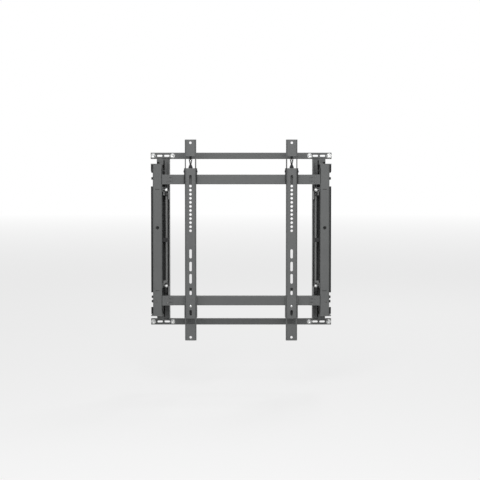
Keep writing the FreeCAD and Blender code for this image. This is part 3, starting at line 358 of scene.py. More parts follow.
def plate(name, outline, thick, edge=0.0003):  # an outline in local x and z, as thick as asked along y
    shape = bmesh.new()
    face = shape.faces.new([shape.verts.new((x, 0, z)) for x, z in outline])
    pushed = bmesh.ops.extrude_face_region(shape, geom=[face])["geom"]
    verts = [item for item in pushed if isinstance(item, bmesh.types.BMVert)]
    bmesh.ops.translate(shape, verts=verts, vec=(0, -thick, 0))
    bmesh.ops.recalc_face_normals(shape, faces=shape.faces)
    sharp = [e for e in shape.edges if e.calc_face_angle() > plateCorner]
    bmesh.ops.bevel(shape, geom=sharp, offset=edge, **bevelStyle)
    return meshFrom(shape, name)


def softened(node, edge, name):  # a merged copy of a solid with its sharp edges rounded
    shape = bmesh.new()
    shape.from_mesh(frame["nodes"][node].data)
    bmesh.ops.remove_doubles(shape, verts=shape.verts, dist=softening["merge"])
    bmesh.ops.dissolve_limit(shape, angle_limit=softening["flat"], verts=shape.verts, edges=shape.edges)
    sharp = [e for e in shape.edges if e.is_manifold and e.calc_face_angle() > softening["corner"]]
    layer = shape.faces.layers.float.new("edge")
    made = bmesh.ops.bevel(shape, geom=sharp, offset=edge, **bevelStyle)
    for face in made["faces"]:
        face[layer] = 1.0
    return meshFrom(shape, name)


def pressed(node, name, edge):
    piece = finishPiece(name, softened(node, edge, name), bodyOf[node], slotOf[node], [node])
    piece.modifiers.new("flatFaces", "WEIGHTED_NORMAL").keep_sharp = True


# node trees for what repeats
def geometryTree(name, inputs):
    tree = bpy.data.node_groups.new(name, "GeometryNodeTree")
    face = tree.interface
    face.new_socket("Geometry", in_out="INPUT", socket_type="NodeSocketGeometry")
    for socketName, kind in inputs:
        face.new_socket(socketName, in_out="INPUT", socket_type="NodeSocket" + kind)
    face.new_socket("Finish", in_out="INPUT", socket_type="NodeSocketMaterial")
    face.new_socket("Geometry", in_out="OUTPUT", socket_type="NodeSocketGeometry")
    return tree, tree.nodes.new("NodeGroupInput").outputs


def closeTree(tree, entry, geometry):
    leave = tree.nodes.new("NodeGroupOutput")
    real = addNode(tree, "GeometryNodeRealizeInstances", {"Geometry": geometry}).outputs[0]
    painted = addNode(tree, "GeometryNodeSetMaterial", {"Geometry": real, "Material": entry["Finish"]})
    tree.links.new(painted.outputs[0], leave.inputs["Geometry"])
    return tree


def rowTree():  # copies at even steps along a line, each spun by chance about its own axis
    tree, entry = geometryTree("evenRow", [
        ("Start", "Vector"), ("Step", "Vector"), ("Count", "Int"),
        ("Facing", "Vector"), ("Spin", "Float"), ("Seed", "Int")])
    line = addNode(tree, "GeometryNodeMeshLine", {
        "Count": entry["Count"], "Start Location": entry["Start"], "Offset": entry["Step"]}, mode="OFFSET")
    chance = addNode(tree, "FunctionNodeRandomValue", {2: 0.0, 3: entry["Spin"], 8: entry["Seed"]})
    spin = addNode(tree, "FunctionNodeAxisAngleToRotation",
                   {"Axis": (0.0, 0.0, 1.0), "Angle": chance.outputs[1]})
    base = addNode(tree, "FunctionNodeEulerToRotation", {0: entry["Facing"]})
    both = addNode(tree, "FunctionNodeRotateRotation", {0: base.outputs[0], 1: spin.outputs[0]},
                   rotation_space="LOCAL")
    copies = addNode(tree, "GeometryNodeInstanceOnPoints", {
        "Points": line.outputs[0], "Instance": entry["Geometry"], "Rotation": both.outputs[0]})
    return closeTree(tree, entry, copies.outputs[0])


def section(tree, entry, radius):
    inputs = {"Resolution": entry["Sides"], "Radius": entry[radius]}
    return addNode(tree, "GeometryNodeCurvePrimitiveCircle", inputs).outputs[0]


def coilTree():  # wire wound round local z, for threads and springs
    tree, entry = geometryTree("woundWire", [
        ("Radius", "Float"), ("Turns", "Float"), ("Length", "Float"),
        ("Wire", "Float"), ("Base", "Float"), ("Sides", "Int"),
        ("Smoothness", "Int")])
    spiral = addNode(tree, "GeometryNodeCurveSpiral", {
        "Resolution": entry["Smoothness"], "Rotations": entry["Turns"], "Start Radius": entry["Radius"],
        "End Radius": entry["Radius"], "Height": entry["Length"]})
    wire = addNode(tree, "GeometryNodeCurveToMesh", {
        "Curve": spiral.outputs[0], "Profile Curve": section(tree, entry, "Wire"), "Fill Caps": True})
    lift = addNode(tree, "ShaderNodeCombineXYZ", {"Z": entry["Base"]})
    placed = addNode(tree, "GeometryNodeTransform",
                     {"Geometry": wire.outputs[0], "Translation": lift.outputs[0]})
    return closeTree(tree, entry, placed.outputs[0])


def rimTree():  # a rounded lip along the outline of every hole
    tree, entry = geometryTree("holeRim", [("Lip", "Float"), ("Sides", "Int")])
    outline = addNode(tree, "GeometryNodeMeshToCurve", {"Mesh": entry["Geometry"]})
    lip = addNode(tree, "GeometryNodeCurveToMesh",
                  {"Curve": outline.outputs[0], "Profile Curve": section(tree, entry, "Lip")})
    worn = addNode(tree, "GeometryNodeStoreNamedAttribute",
                   {"Geometry": lip.outputs[0], "Name": "edge", "Value": 1.0}, data_type="FLOAT",
                   domain="FACE")
    return closeTree(tree, entry, worn.outputs[0])


def weldTree():  # overlapping beads along a seam, uneven in size and lean
    tree, entry = geometryTree("weldSeam", [
        ("Start", "Vector"), ("Step", "Vector"), ("Count", "Int"),
        ("Bead", "Float"), ("Uneven", "Float"), ("Seed", "Int")])
    line = addNode(tree, "GeometryNodeMeshLine", {
        "Count": entry["Count"], "Start Location": entry["Start"], "Offset": entry["Step"]}, mode="OFFSET")
    ball = addNode(tree, "GeometryNodeMeshUVSphere", {"Segments": 12, "Rings": 8, "Radius": entry["Bead"]})
    low = addNode(tree, "ShaderNodeMath", {0: 1.0, 1: entry["Uneven"]}, operation="SUBTRACT")
    size = addNode(tree, "FunctionNodeRandomValue", {2: low.outputs[0], 3: 1.0, 8: entry["Seed"]})
    lean = addNode(tree, "FunctionNodeRandomValue",
                   {0: (-0.4, -0.4, -0.4), 1: (0.4, 0.4, 0.4), 8: entry["Seed"]}, data_type="FLOAT_VECTOR")
    beads = addNode(tree, "GeometryNodeInstanceOnPoints", {
        "Points": line.outputs[0], "Instance": ball.outputs[0], "Rotation": lean.outputs[0],
        "Scale": size.outputs[1]})
    return closeTree(tree, entry, beads.outputs[0])


evenRow = rowTree()
woundWire = coilTree()
holeRim = rimTree()
weldSeam = weldTree()


def grown(tree, mesh, values):  # the tree's result on a mesh, as a plain mesh
    maker = bpy.data.objects.new("maker", mesh or bpy.data.meshes.new("empty"))
    bpy.context.scene.collection.objects.link(maker)
    modifier = maker.modifiers.new("grow", "NODES")
    modifier.node_group = tree
    for item in tree.interface.items_tree:
        if item.in_out == "INPUT" and item.name in values:
            modifier[item.identifier] = values[item.name]
    seen = bpy.context.evaluated_depsgraph_get()
    made = bpy.data.meshes.new_from_object(maker.evaluated_get(seen), depsgraph=seen)
    bpy.data.objects.remove(maker)
    return made


def row(mesh, start, step, count, matrix=None, spin=0.0, seed=0):
    turn = (matrix or Matrix.Identity(4)).to_euler()
    values = {"Start": start, "Step": step, "Count": count, "Facing": tuple(turn), "Spin": spin, "Seed": seed}
    return grown(evenRow, mesh, values)


def bothSides(name, node, mesh, place, turn=None, spin=0.0, seed=0):  # a copy on each side
    for side, sign in sides.items():
        solid = f"{node}_{side}"
        start = (sign * place["across"], place["y"], place["up"])
        made = row(mesh, start, (0, 0, 0), 1, turn(side) if callable(turn) else turn, spin, seed)
        finishPiece(sideName(name, side), made, bodyOf[solid], slotOf[solid], [solid])


def thread(radius, pitch, base, length, depth):
    return grown(woundWire, None, {"Radius": radius, "Turns": length / pitch, "Length": length, "Wire": depth,
                                   "Base": base, "Sides": 4, "Smoothness": 24})


def spring(radius, turns, base, length, wire):
    return grown(woundWire, None, {"Radius": radius, "Turns": turns, "Length": length, "Wire": wire,
                                   "Base": base, "Sides": 8, "Smoothness": 32})


def weld(start, step, count, bead, seed):
    return grown(weldSeam, None, {"Start": start, "Step": step, "Count": count, "Bead": bead, "Uneven": 0.25,
                                  "Seed": seed})


print("helpers and node trees ready")


# copies of the sheet metal solids: name, and width of the rounded edges
sheetWork = {
    "wall_rail_top": ("wallRailTop", 0.0005), "wall_rail_bottom": ("wallRailBottom", 0.0005),
    "hang_rail_top": ("hangRailTop", 0.0005), "hang_rail_bottom": ("hangRailBottom", 0.0005),
    "corner_brackets": ("cornerBrackets", 0.0005), "end_plates": ("endPlates", 0.0005),
    "rail_end_brackets": ("railEndBrackets", 0.0004), "latch_plates": ("latchPlates", 0.0004),
    "rod_guides": ("rodGuides", 0.0007),
}
sideSheetWork = {
    "wall_upright": ("wallUpright", 0.0005), "front_upright": ("frontUpright", 0.0005),
    "outer_arm": ("outerArm", 0.0006), "inner_arm": ("innerArm", 0.0006), "adapter": ("adapter", 0.0004),
    "hook_block": ("hookBlock", 0.0004), "catch_carrier": ("catchCarrier", 0.0004),
    "bottom_catch": ("bottomCatch", 0.0004), "lift_nut": ("liftNut", 0.0005),
    "latch_rod": ("latchRod", 0.0004),
}
for node, (name, edge) in sheetWork.items():
    pressed(node, name, edge)
for node, (name, edge) in sideSheetWork.items():
    for side in sides:
        pressed(f"{node}_{side}", sideName(name, side), edge)


def repaint(name, secondMaterial, chosen, splitAt=None):  # a second material on the faces that the test picks; it carries second finishes, and also painted shade and painted light
    mesh = bpy.data.objects[name].data
    if splitAt:
        shape = bmesh.new()
        shape.from_mesh(mesh)
        for up in (-splitAt, splitAt):
            parts = shape.verts[:] + shape.edges[:] + shape.faces[:]
            bmesh.ops.bisect_plane(shape, geom=parts, dist=0.000001, plane_co=(0, 0, up), plane_no=(0, 0, 1))
        shape.to_mesh(mesh)
        shape.free()
    mesh.materials.append(secondMaterial)
    for face in mesh.polygons:
        if chosen(face.center, face.normal):
            face.material_index = len(mesh.materials) - 1


# bounds of the painted shade on the front uprights: the outer lip and the inner walls near the back
uprightPaintedShade = {"lip": 0.2728, "lipFront": -0.0512, "inner": 0.2444, "back": -0.0945}
# bounds of the painted shade on the rail end brackets: outer flanges and tails
bracketPaintedShade = {"flange": 0.2412, "tail": 0.2032}
carrierPale = {"front": -0.0836}


def paintSheetMetal():
    size = uprightPaintedShade
    for side, sign in sides.items():
        # painted shade: the outer lip and the inner walls of each front upright turn black where they lie in
        # shadow
        repaint(sideName("frontUpright", side), satinBlack, lambda place, normal: (
            abs(place.x) > size["lip"] and place.y > size["lipFront"]
            or abs(place.x) < size["inner"] and place.y > size["back"] and -sign * normal.x > 0.9))
        repaint(sideName("catchCarrier", side), powderCoat,
                lambda place, normal: normal.y < -0.9 and place.y < carrierPale["front"])
        # painted light: each adapter takes the lighter copy of the powder coat
        repaint(sideName("adapter", side), powderLitCopy, lambda place, normal: True)
    # painted shade: the outer flanges and tails of the rail end brackets turn black where they lie in shadow
    # beside the boxes
    repaint("railEndBrackets", satinBlack, lambda place, normal: (
        abs(place.x) > bracketPaintedShade["flange"]
        and (abs(place.z) > bracketPaintedShade["tail"] or abs(normal.x) > 0.9)), bracketPaintedShade["tail"])


paintSheetMetal()
print("sheet metal ready")


# screws, whose profiles run from tip to head
wallScrew = {"across": (0.277, 0.216), "up": 0.262, "washer": 0.0074, "washerTop": 0.0094, "seat": 0.008,
             "head": 0.0060, "top": 0.0125, "socket": 0.0031, "socketFloor": 0.0098, "shoulder": 0.0045,
             "shoulderBack": 0.0055, "core": 0.0034, "tip": -0.045, "pitch": 0.0022, "flank": 0.00052}


def makeWallScrews():
    size = wallScrew
    head = turned("wallScrew", [
        (0, size["tip"]), (0.0012, size["tip"] + 0.0006), (size["core"], -0.0395),
        (size["core"], size["shoulderBack"]), (size["shoulder"], size["shoulderBack"]),
        (size["shoulder"], size["seat"]), (size["washer"] - 0.0003, size["seat"]),
        (size["washer"], size["seat"] + 0.0003), (size["washer"], size["washerTop"] - 0.0003),
        (size["washer"] - 0.0003, size["washerTop"]), (size["head"] + 0.0002, size["washerTop"]),
        (size["head"], 0.0100), (0.0057, 0.0112), (0.0050, 0.0120), (0.0042, 0.0124),
        (0.0038, size["top"]), (size["socket"], 0.0123, "hex"),
        (size["socket"], size["socketFloor"], "hex"), (0, size["socketFloor"] - 0.0004)], 60)
    worm = thread(size["core"], size["pitch"], -0.040, 0.040 + size["shoulderBack"], size["flank"])
    screw = joined("wallScrew", [head, worm])
    rows = []
    for index, across in enumerate(size["across"]):
        for end in (-1, 1):
            start = (-across, 0, end * size["up"])
            rows.append(row(screw, start, (2 * across, 0, 0), 2, toFront, anyTurn, 4 + index))
    standIn("wallScrews", "wall_screws", rows)


panScrew = {"head": 0.0035, "height": 0.0021, "shank": 0.0019, "depth": 0.0075, "cross": 0.0019,
            "pitch": 0.0008, "flank": 0.00022}


def makePanScrew(name, scale):
    size = panScrew
    head = turned(name, [
        (0, -size["depth"]), (0.0011, 0.0004 - size["depth"]), (size["shank"], 0.0012 - size["depth"]),
        (size["shank"], 0), (size["head"] - 0.0001, 0), (size["head"], 0.0002), (0.0034, 0.0008),
        (0.0030, 0.0015), (0.0024, 0.0019), (0.0021, size["height"]),
        (size["cross"], size["height"] - 0.0001, "cross"), (0.0014, 0.0009, "cross"), (0, 0.0006)], 48)
    worm = thread(size["shank"] - 0.0001, size["pitch"], 0.0010 - size["depth"], size["depth"] - 0.0014,
                  size["flank"])
    mesh = joined(name, [head, worm])
    return moved(mesh, Matrix.Scale(scale, 4))


frontScrews = {"across": 0.228, "front": -0.0995, "up": (0.1795, 0.1955), "lowAcross": 0.264,
               "lowFront": -0.098, "lowUp": -0.1907}


def makeFrontScrews():
    size = frontScrews
    screw = makePanScrew("frontScrew", 1.0)
    rows = []
    inner, outer = size["up"]
    for index, sign in enumerate(sides.values()):
        for end in (-1, 1):
            start = (sign * size["across"], size["front"], end * inner)
            step = (0, 0, end * (outer - inner))
            rows.append(row(screw, start, step, 2, toFront, anyTurn, 10 + index + end))
    start = (-size["lowAcross"], size["lowFront"], size["lowUp"])
    rows.append(row(screw, start, (2 * size["lowAcross"], 0, 0), 2, toFront, anyTurn, 15))
    standIn("frontScrews", "front_screws", rows)


faceScrew = {"across": 0.2585, "front": -0.098, "up": 0.0385, "scale": 10.0 / 7.0}


def makeFaceScrews():
    size = faceScrew
    screw = makePanScrew("faceScrew", size["scale"])
    start = (-size["across"], size["front"], size["up"])
    made = row(screw, start, (2 * size["across"], 0, 0), 2, toFront, anyTurn, 3)
    finishPiece("faceScrews", made, bodyOf["face_screws"], slotOf["face_screws"], ["face_screws"])


sideBolt = {"outer": 0.273, "y": -0.081, "up": (0.1907, 0.212, -0.1907, -0.177), "flat": 0.0037,
            "height": 0.005, "washer": 0.0052, "shank": 0.0024, "nutTop": -0.0315, "nutBase": -0.0355,
            "end": -0.0363}


def makeSideBolts():
    size = sideBolt
    bolt = turned("sideBolt", [
        (0, size["end"]), (0.0019, size["end"]), (size["shank"], size["end"] + 0.0005),
        (size["shank"], size["nutBase"]), (0.0034, size["nutBase"]),
        (size["flat"], size["nutBase"] + 0.0003, "hex"), (size["flat"], size["nutTop"] - 0.0003, "hex"),
        (0.0036, size["nutTop"]), (size["shank"], size["nutTop"]), (size["shank"], 0),
        (size["washer"] - 0.0002, 0), (size["washer"], 0.0002), (size["washer"], 0.0009),
        (size["washer"] - 0.0002, 0.0011), (size["flat"], 0.0011, "hex"),
        (size["flat"], size["height"] - 0.0005, "hex"), (0.0035, size["height"]),
        (0.0027, size["height"]), (0.0024, size["height"] - 0.0004), (0, size["height"] - 0.0004)], 60)
    rows = []
    for side in sides:
        across = sides[side] * size["outer"]
        for index, up in enumerate((size["up"][:2], size["up"][2:])):
            step = (0, 0, up[1] - up[0])
            rows.append(row(bolt, (across, size["y"], up[0]), step, 2, facing(side), slightTurn, 20 + index))
    standIn("sideBolts", "side_bolts", rows)


catchScrew = {"across": adapterX, "y": -0.112, "up": -0.1505, "head": 0.0040, "height": 0.0030,
              "socket": 0.0016}


def makeCatchScrews():
    size = catchScrew
    screw = turned("catchScrew", [
        (0, -0.0055), (0.0021, -0.0055), (0.0025, -0.0050), (0.0025, 0), (size["head"] - 0.0001, 0),
        (size["head"], 0.0002), (0.0037, 0.0014), (0.0031, 0.0024), (0.0024, 0.0029),
        (0.0020, size["height"]), (size["socket"], 0.0029, "hex"), (size["socket"], 0.0012, "hex"),
        (0, 0.0010)], 48)
    bothSides("catchScrew", "catch_screw", screw, size, toFront, slightTurn, 30)


makeWallScrews()
makeFrontScrews()
makeFaceScrews()
makeSideBolts()
makeCatchScrews()
print("screws ready")


# pins, rivets, rollers, buffers and pads
pivotPin = {"head": 0.0070, "shank": 0.0050, "socket": 0.0024, "up": -0.187, "wall": (0.2205, -0.022),
            "front": (0.23725, -0.060)}


def makePivotPins():
    size = pivotPin
    wallPin = turned("wallPin", [
        (0, 0.0016), (size["socket"], 0.0016, "hex"), (size["socket"], 0.0001, "hex"), (0.0052, 0),
        (0.0064, 0.0005), (size["head"], 0.0014), (size["head"], 0.0035), (size["shank"], 0.0035),
        (size["shank"], 0.0060), (size["head"], 0.0060), (size["head"], 0.00825),
        (size["shank"], 0.00825), (size["shank"], 0.01225), (size["head"], 0.01225),
        (size["head"], 0.0135), (0.0064, 0.0141), (0.0046, 0.0141), (0.0042, 0.01425), (0, 0.01425)], 60)
    frontPin = turned("frontPin", [
        (0, 0), (0.0042, 0), (0.0046, 0.0003), (0.0066, 0.0003), (size["head"], 0.0007),
        (size["head"], 0.0020), (size["shank"], 0.0020), (size["shank"], 0.0060), (size["head"], 0.0060),
        (size["head"], 0.00675), (size["shank"], 0.00675), (size["shank"], 0.00925),
        (size["head"], 0.00925), (size["head"], 0.0112), (0.0062, 0.0120), (0.0050, 0.01225),
        (size["socket"], 0.01215, "hex"), (size["socket"], 0.0105, "hex"), (0, 0.0105)], 60)
    for pin, node, name, (across, y) in ((wallPin, "wall_pivot_pins", "wallPivotPins", size["wall"]),
                                         (frontPin, "display_pivot_pins", "displayPivotPins", size["front"])):
        rows = [row(pin, (sign * across, y, size["up"]), (0, 0, 0), 1, facing(side), slightTurn, 40)
                for side, sign in sides.items()]
        standIn(name, node, rows)


centreRivet = {"across": 0.227, "y": -0.041, "up": 0.00205}


def makeCentreRivets():
    rivet = turned("centreRivet", [
        (0, 0.0001), (0.0026, 0), (0.0034, 0.0004), (0.0056, 0.0004), (0.0067, 0.0009), (0.0070, 0.0020),
        (0.0050, 0.0020), (0.0050, 0.0055), (0.0066, 0.0055), (0.0070, 0.0059), (0.0070, 0.0085),
        (0.0064, 0.0089), (0.0070, 0.0093), (0.0070, 0.0119), (0.0066, 0.01225), (0.0050, 0.01225),
        (0.0050, 0.0159), (0.0045, 0.01625), (0.0020, 0.01625), (0, 0.0156)], 60)
    bothSides("centreRivet", "centre_rivet", rivet, centreRivet, facing, slightTurn, 41)


outerRoller = {"across": 0.229, "y": -0.060, "up": 0.1911}
innerRoller = {"across": 0.2212, "y": -0.022, "up": 0.1911}


def makeRollers():
    outer = turned("outerRoller", [
        (0, 0.0001), (0.0032, 0.0001), (0.0040, 0.0005), (0.0040, 0.0035), (0.0054, 0.0035),
        (0.0060, 0.0040), (0.0060, 0.0090), (0.0055, 0.0094), (0.0055, 0.0102), (0.0060, 0.0106),
        (0.0060, 0.0178), (0.0074, 0.0178), (0.0080, 0.0183), (0.0080, 0.0196), (0.0075, 0.0202),
        (0.0046, 0.0202), (0.0042, 0.0194), (0.0020, 0.0194), (0.0016, 0.0200), (0, 0.0201)], 60)
    inner = turned("innerRoller", [
        (0, 0.0002), (0.0016, 0.0003), (0.0020, 0.0009), (0.0042, 0.0009), (0.0046, 0.0001), (0.0075, 0),
        (0.0080, 0.0006), (0.0080, 0.0020), (0.0075, 0.0025), (0.0060, 0.0025), (0.0060, 0.0095),
        (0.0055, 0.0099), (0.0055, 0.0107), (0.0060, 0.0111), (0.0060, 0.0178), (0.0054, 0.0183),
        (0.0040, 0.0183), (0.0040, 0.0214), (0.0034, 0.0218), (0, 0.0218)], 60)
    bothSides("outerRoller", "outer_arm_roller", outer, outerRoller, facing, slightTurn, 42)
    bothSides("innerRoller", "inner_arm_roller", inner, innerRoller, facing, slightTurn, 42)


guideRivet = {"reach": 0.014, "y": -0.104, "up": 0.212}


def makeGuideRivets():
    size = guideRivet
    rivet = turned("guideRivet", [
        (0, 0), (0.0022, 0), (0.0025, 0.0003), (0.0025, 0.0060), (0.0034, 0.0060), (0.0037, 0.0063),
        (0.0035, 0.0070), (0.0026, 0.0075), (0.0012, 0.0077), (0, 0.0077)], 40)
    for side, sign in sides.items():
        node = f"guide_rivets_{side}"
        starts = [(sign * adapterX + turn * size["reach"], size["y"], size["up"]) for turn in (1, -1)]
        rows = [row(rivet, start, (0, 0, 0), 1, matrix) for start, matrix in zip(starts, (toRight, toLeft))]
        standIn(sideName("guideRivets", side), node, rows)


catchPin = {"apart": 0.015, "y": -0.082, "up": -0.231}


def makeCatchPins():
    size = catchPin
    pin = turned("catchPin", [
        (0, 0), (0.0022, 0), (0.0025, 0.0003), (0.0025, 0.0050), (0.0043, 0.0050), (0.0045, 0.0053),
        (0.0044, 0.0060), (0.0036, 0.0067), (0.0024, 0.0070), (0.0010, 0.0070), (0, 0.0066)], 40)
    for side, sign in sides.items():
        node = f"catch_pins_{side}"
        start = (sign * adapterX - size["apart"] / 2, size["y"], size["up"])
        made = row(pin, start, (size["apart"], 0, 0), 2, toFront, slightTurn, 43)
        finishPiece(sideName("catchPins", side), made, bodyOf[node], "zinc", [node])


stopBuffer = {"across": 0.2595, "y": -0.038, "up": 0.2385}


def makeBuffers():
    size = stopBuffer
    buffer = turned("stopBuffer", [
        (0, 0), (0.0040, 0), (0.0040, 0.0014), (0.0034, 0.0020), (0.0040, 0.0028), (0.0040, 0.0038),
        (0.0034, 0.0045), (0.0040, 0.0052), (0.0040, 0.0062), (0.0036, 0.0074), (0.0028, 0.0086),
        (0.0018, 0.0093), (0.0008, 0.0097), (0, 0.0097)], 40)
    starts = [(-size["across"], size["y"], end * size["up"]) for end in (-1, 1)]
    rows = [row(buffer, start, (2 * size["across"], 0, 0), 2, toFront) for start in starts]
    standIn("stopBuffers", "stop_buffers", rows)


plateRivet = {"across": adapterX, "y": -0.1112, "up": -0.2039, "radius": 0.0041}


def makePlateRivets():  # closes the lower round hole of each adapter
    size = plateRivet
    rivet = turned("plateRivet", [
        (0, -0.0042), (0.0052, -0.0042), (0.0056, -0.0038), (0.0056, -0.0020),
        (size["radius"] - 0.0002, -0.0018), (size["radius"] - 0.0001, -0.0006), (0.0038, 0.0002),
        (0.0030, 0.0006), (0.0016, 0.0008), (0.0012, 0.0004), (0, 0.0004)], 40)
    for side in sides:
        place = (sides[side] * size["across"], size["y"], size["up"])
        made = row(rivet, place, (0, 0, 0), 1, toFront)
        finishPiece(sideName("plateRivet", side), made, bodyOf[f"adapter_{side}"], "zinc")


# painted shade strips: columns of across, half width and count; depth, thickness, pad length and gap
paintedShadeStrips = {"columns": ((0.2443, 0.0031, 16), (0.2292, 0.0019, 9)), "back": -0.0054, "thick": 0.0009,
              "pad": 0.0310, "gap": 0.0008}


def makePaintedShadeStrips():  # black pads in rows down the wall uprights, behind the arms: painted shade, a dark sheet in the deep gap that lies in shadow
    size = paintedShadeStrips
    high = (size["pad"] - size["gap"]) / 2
    rows = []
    for across, wide, count in size["columns"]:
        pad = plate("paintedShadePad", [(-wide, -high), (wide, -high), (wide, high), (-wide, high)], size["thick"])
        low = size["pad"] * (1 - count) / 2
        rows += [row(pad, (sign * across, size["back"], low), (0, 0, size["pad"]), count)
                 for sign in sides.values()]
    finishPiece("paintedShadeStrips", joined("paintedShadeStrips", rows), bodyOf["wall_upright_left"], "rubber")


slotPad = {"across": 0.2590, "width": 0.0170, "height": 0.0060, "back": -0.0955, "thick": 0.0012, "up": 0.157}


def makeSlotPads():  # black pads behind the fine slots of the front uprights
    size = slotPad
    wide = size["width"] / 2
    high = size["height"] / 2
    pad = plate("slotPad", [(-wide, -high), (wide, -high), (wide, high), (-wide, high)], size["thick"])
    moved(pad, Matrix.Translation((0, size["thick"], 0)))
    rows = [row(pad, (sign * size["across"], size["back"], -size["up"]), (0, 0, 2 * size["up"]), 2)
            for sign in sides.values()]
    finishPiece("slotPads", joined("slotPads", rows), bodyOf["front_upright_left"], "nylon")


makePivotPins()
makeCentreRivets()
makePlateRivets()
makePaintedShadeStrips()
makeSlotPads()
makeRollers()
makeGuideRivets()
makeCatchPins()
makeBuffers()
print("pins, rivets and rollers ready")


# height adjusters: a winged knob on a threaded screw
heightKnob = {"across": adapterX, "y": -0.1015, "up": 0, "low": 0.2223, "flange": 0.0063, "waist": 0.0024,
              "waistUp": 0.2360, "wingTop": 0.2545, "wingReach": 0.0060, "wingThick": 0.0018,
              "wingDeep": 0.0050}


def makeHeightKnobs():
    size = heightKnob
    skirt = turned("knobSkirt", [
        (0, size["low"]), (size["flange"] - 0.0004, size["low"]),
        (size["flange"], size["low"] + 0.0004, "ribbed"), (size["flange"], 0.2246, "ribbed"),
        (0.0055, 0.2270, "ribbed"), (0.0044, 0.2298, "ribbed"), (0.0034, 0.2325),
        (size["waist"] + 0.0003, 0.2345), (size["waist"], size["waistUp"]), (0.0030, 0.2385),
        (0.0030, 0.2392), (0.0024, 0.2396), (0, 0.2396)], 72)
    reach, top = size["wingReach"], size["wingTop"]
    inside = reach - size["wingThick"]
    wing = plate("wing", [
        (0.0006, 0.2352), (0.0024, 0.2346), (0.0036, 0.2376), (reach, top - 0.0012), (reach - 0.0003, top),
        (inside, top + 0.0001), (inside - 0.0004, top - 0.0010), (0.0018, 0.2384)], size["wingDeep"], 0.0004)
    moved(wing, Matrix.Translation((0, size["wingDeep"] / 2, 0)))
    other = wing.copy()
    moved(other, Matrix.Rotation(math.pi, 4, "Z"))
    knob = joined("heightKnob", [skirt, wing, other])
    bothSides("heightKnob", "height_knob", knob, size)


heightScrew = {"ring": 0.0055, "ringLow": 0.2147, "ringTop": 0.2177, "bridge": 0.0040, "neck": 0.0018,
               "dot": 0.0028, "dotLow": 0.2428, "dotTop": 0.2478, "core": 0.0030, "threadLow": 0.2510,
               "top": 0.2760, "pitch": 0.0015, "flank": 0.0005}


def makeHeightScrews():
    size = heightScrew
    core = turned("heightScrew", [
        (0, size["ringLow"]), (0.0048, size["ringLow"]), (size["ring"], size["ringLow"] + 0.0005),
        (size["ring"], size["ringTop"] - 0.0004), (0.0050, size["ringTop"]),
        (size["bridge"], size["ringTop"]), (size["bridge"], 0.2230), (size["neck"], 0.2235),
        (size["neck"], size["dotLow"]), (size["dot"] - 0.0005, size["dotLow"]),
        (size["dot"], size["dotLow"] + 0.0008), (size["dot"], size["dotTop"] - 0.0008),
        (size["dot"] - 0.0005, size["dotTop"]), (size["neck"] + 0.0002, size["dotTop"] + 0.0002),
        (size["neck"] + 0.0002, 0.2500), (size["core"], size["threadLow"]),
        (size["core"], size["top"] - 0.0006), (size["core"] - 0.0006, size["top"]), (0.0013, size["top"]),
        (0.0012, size["top"] - 0.0008), (0, size["top"] - 0.0008)], 48)
    worm = thread(size["core"], size["pitch"], size["threadLow"] + 0.0004,
                  size["top"] - size["threadLow"] - 0.0012, size["flank"])
    screw = joined("heightScrew", [core, worm])
    bothSides("heightScrew", "height_screw", screw, heightKnob)
    for side in sides:
        repaint(sideName("heightScrew", side), satinBlack,
                lambda place, normal: place.z > size["dotTop"] + 0.0001)


makeHeightKnobs()
makeHeightScrews()
print("height adjusters ready")


# latches: bent hooks, pivot bolts and return springs
latchPivot = {"across": 0.232, "up": (0.155, -0.143)}
latchHook = {"y": -0.0833, "thick": 0.003, "lean": math.atan(1.5 / 7.0)}
hookOutline = [  # u away from the middle of the mount, v up, from the pivot
    (-0.0036, 0.0042), (-0.0020, 0.0050), (0.0018, 0.0051), (0.0034, 0.0046), (0.0058, 0.0040),
    (0.0082, 0.00365), (0.0086, 0.0033), (0.0086, 0.00205), (0.0039, 0.00205), (0.0039, -0.00205),
    (0.0086, -0.00205), (0.0086, -0.0034), (0.0082, -0.0037), (0.0052, -0.0051), (0.0036, -0.0064),
    (0.0030, -0.0085), (0.0030, -0.0114), (0.0022, -0.0134), (0.0004, -0.0162), (-0.0009, -0.0180),
    (-0.0018, -0.0184), (-0.0058, -0.0180), (-0.0070, -0.0172), (-0.0079, -0.0161), (-0.0080, -0.0145),
    (-0.0077, -0.0137), (-0.0070, -0.0135), (-0.0046, -0.0134), (-0.0036, -0.0124), (-0.0030, -0.0112),
    (-0.0030, -0.0062), (-0.0042, -0.0032), (-0.0051, -0.0012), (-0.0052, 0.0006), (-0.0047, 0.0026)]


def makeHooks():
    size = latchHook
    for side, sign in sides.items():
        for end, up in zip(("top", "bottom"), latchPivot["up"]):
            node = f"latch_hook_{end}_{side}"
            outline = [(sign * u, v) for u, v in hookOutline]
            mesh = plate("latchHook", outline, size["thick"], 0.0004)
            lean = Matrix.Rotation(-sign * size["lean"], 4, "Y")
            moved(mesh, Matrix.Translation((sign * latchPivot["across"], size["y"], up)) @ lean)
            name = sideName(f"latchHook{end.capitalize()}", side)
            finishPiece(name, mesh, bodyOf[node], slotOf[node], [node])


latchBolt = {"seat": -0.0866, "flange": 0.0009}


def onLatchPivots(mesh, y, spin=0.0, seed=0):
    top, bottom = latchPivot["up"]
    starts = [(sign * latchPivot["across"], y, top) for sign in sides.values()]
    return [row(mesh, start, (0, 0, bottom - top), 2, toFront, spin, seed) for start in starts]


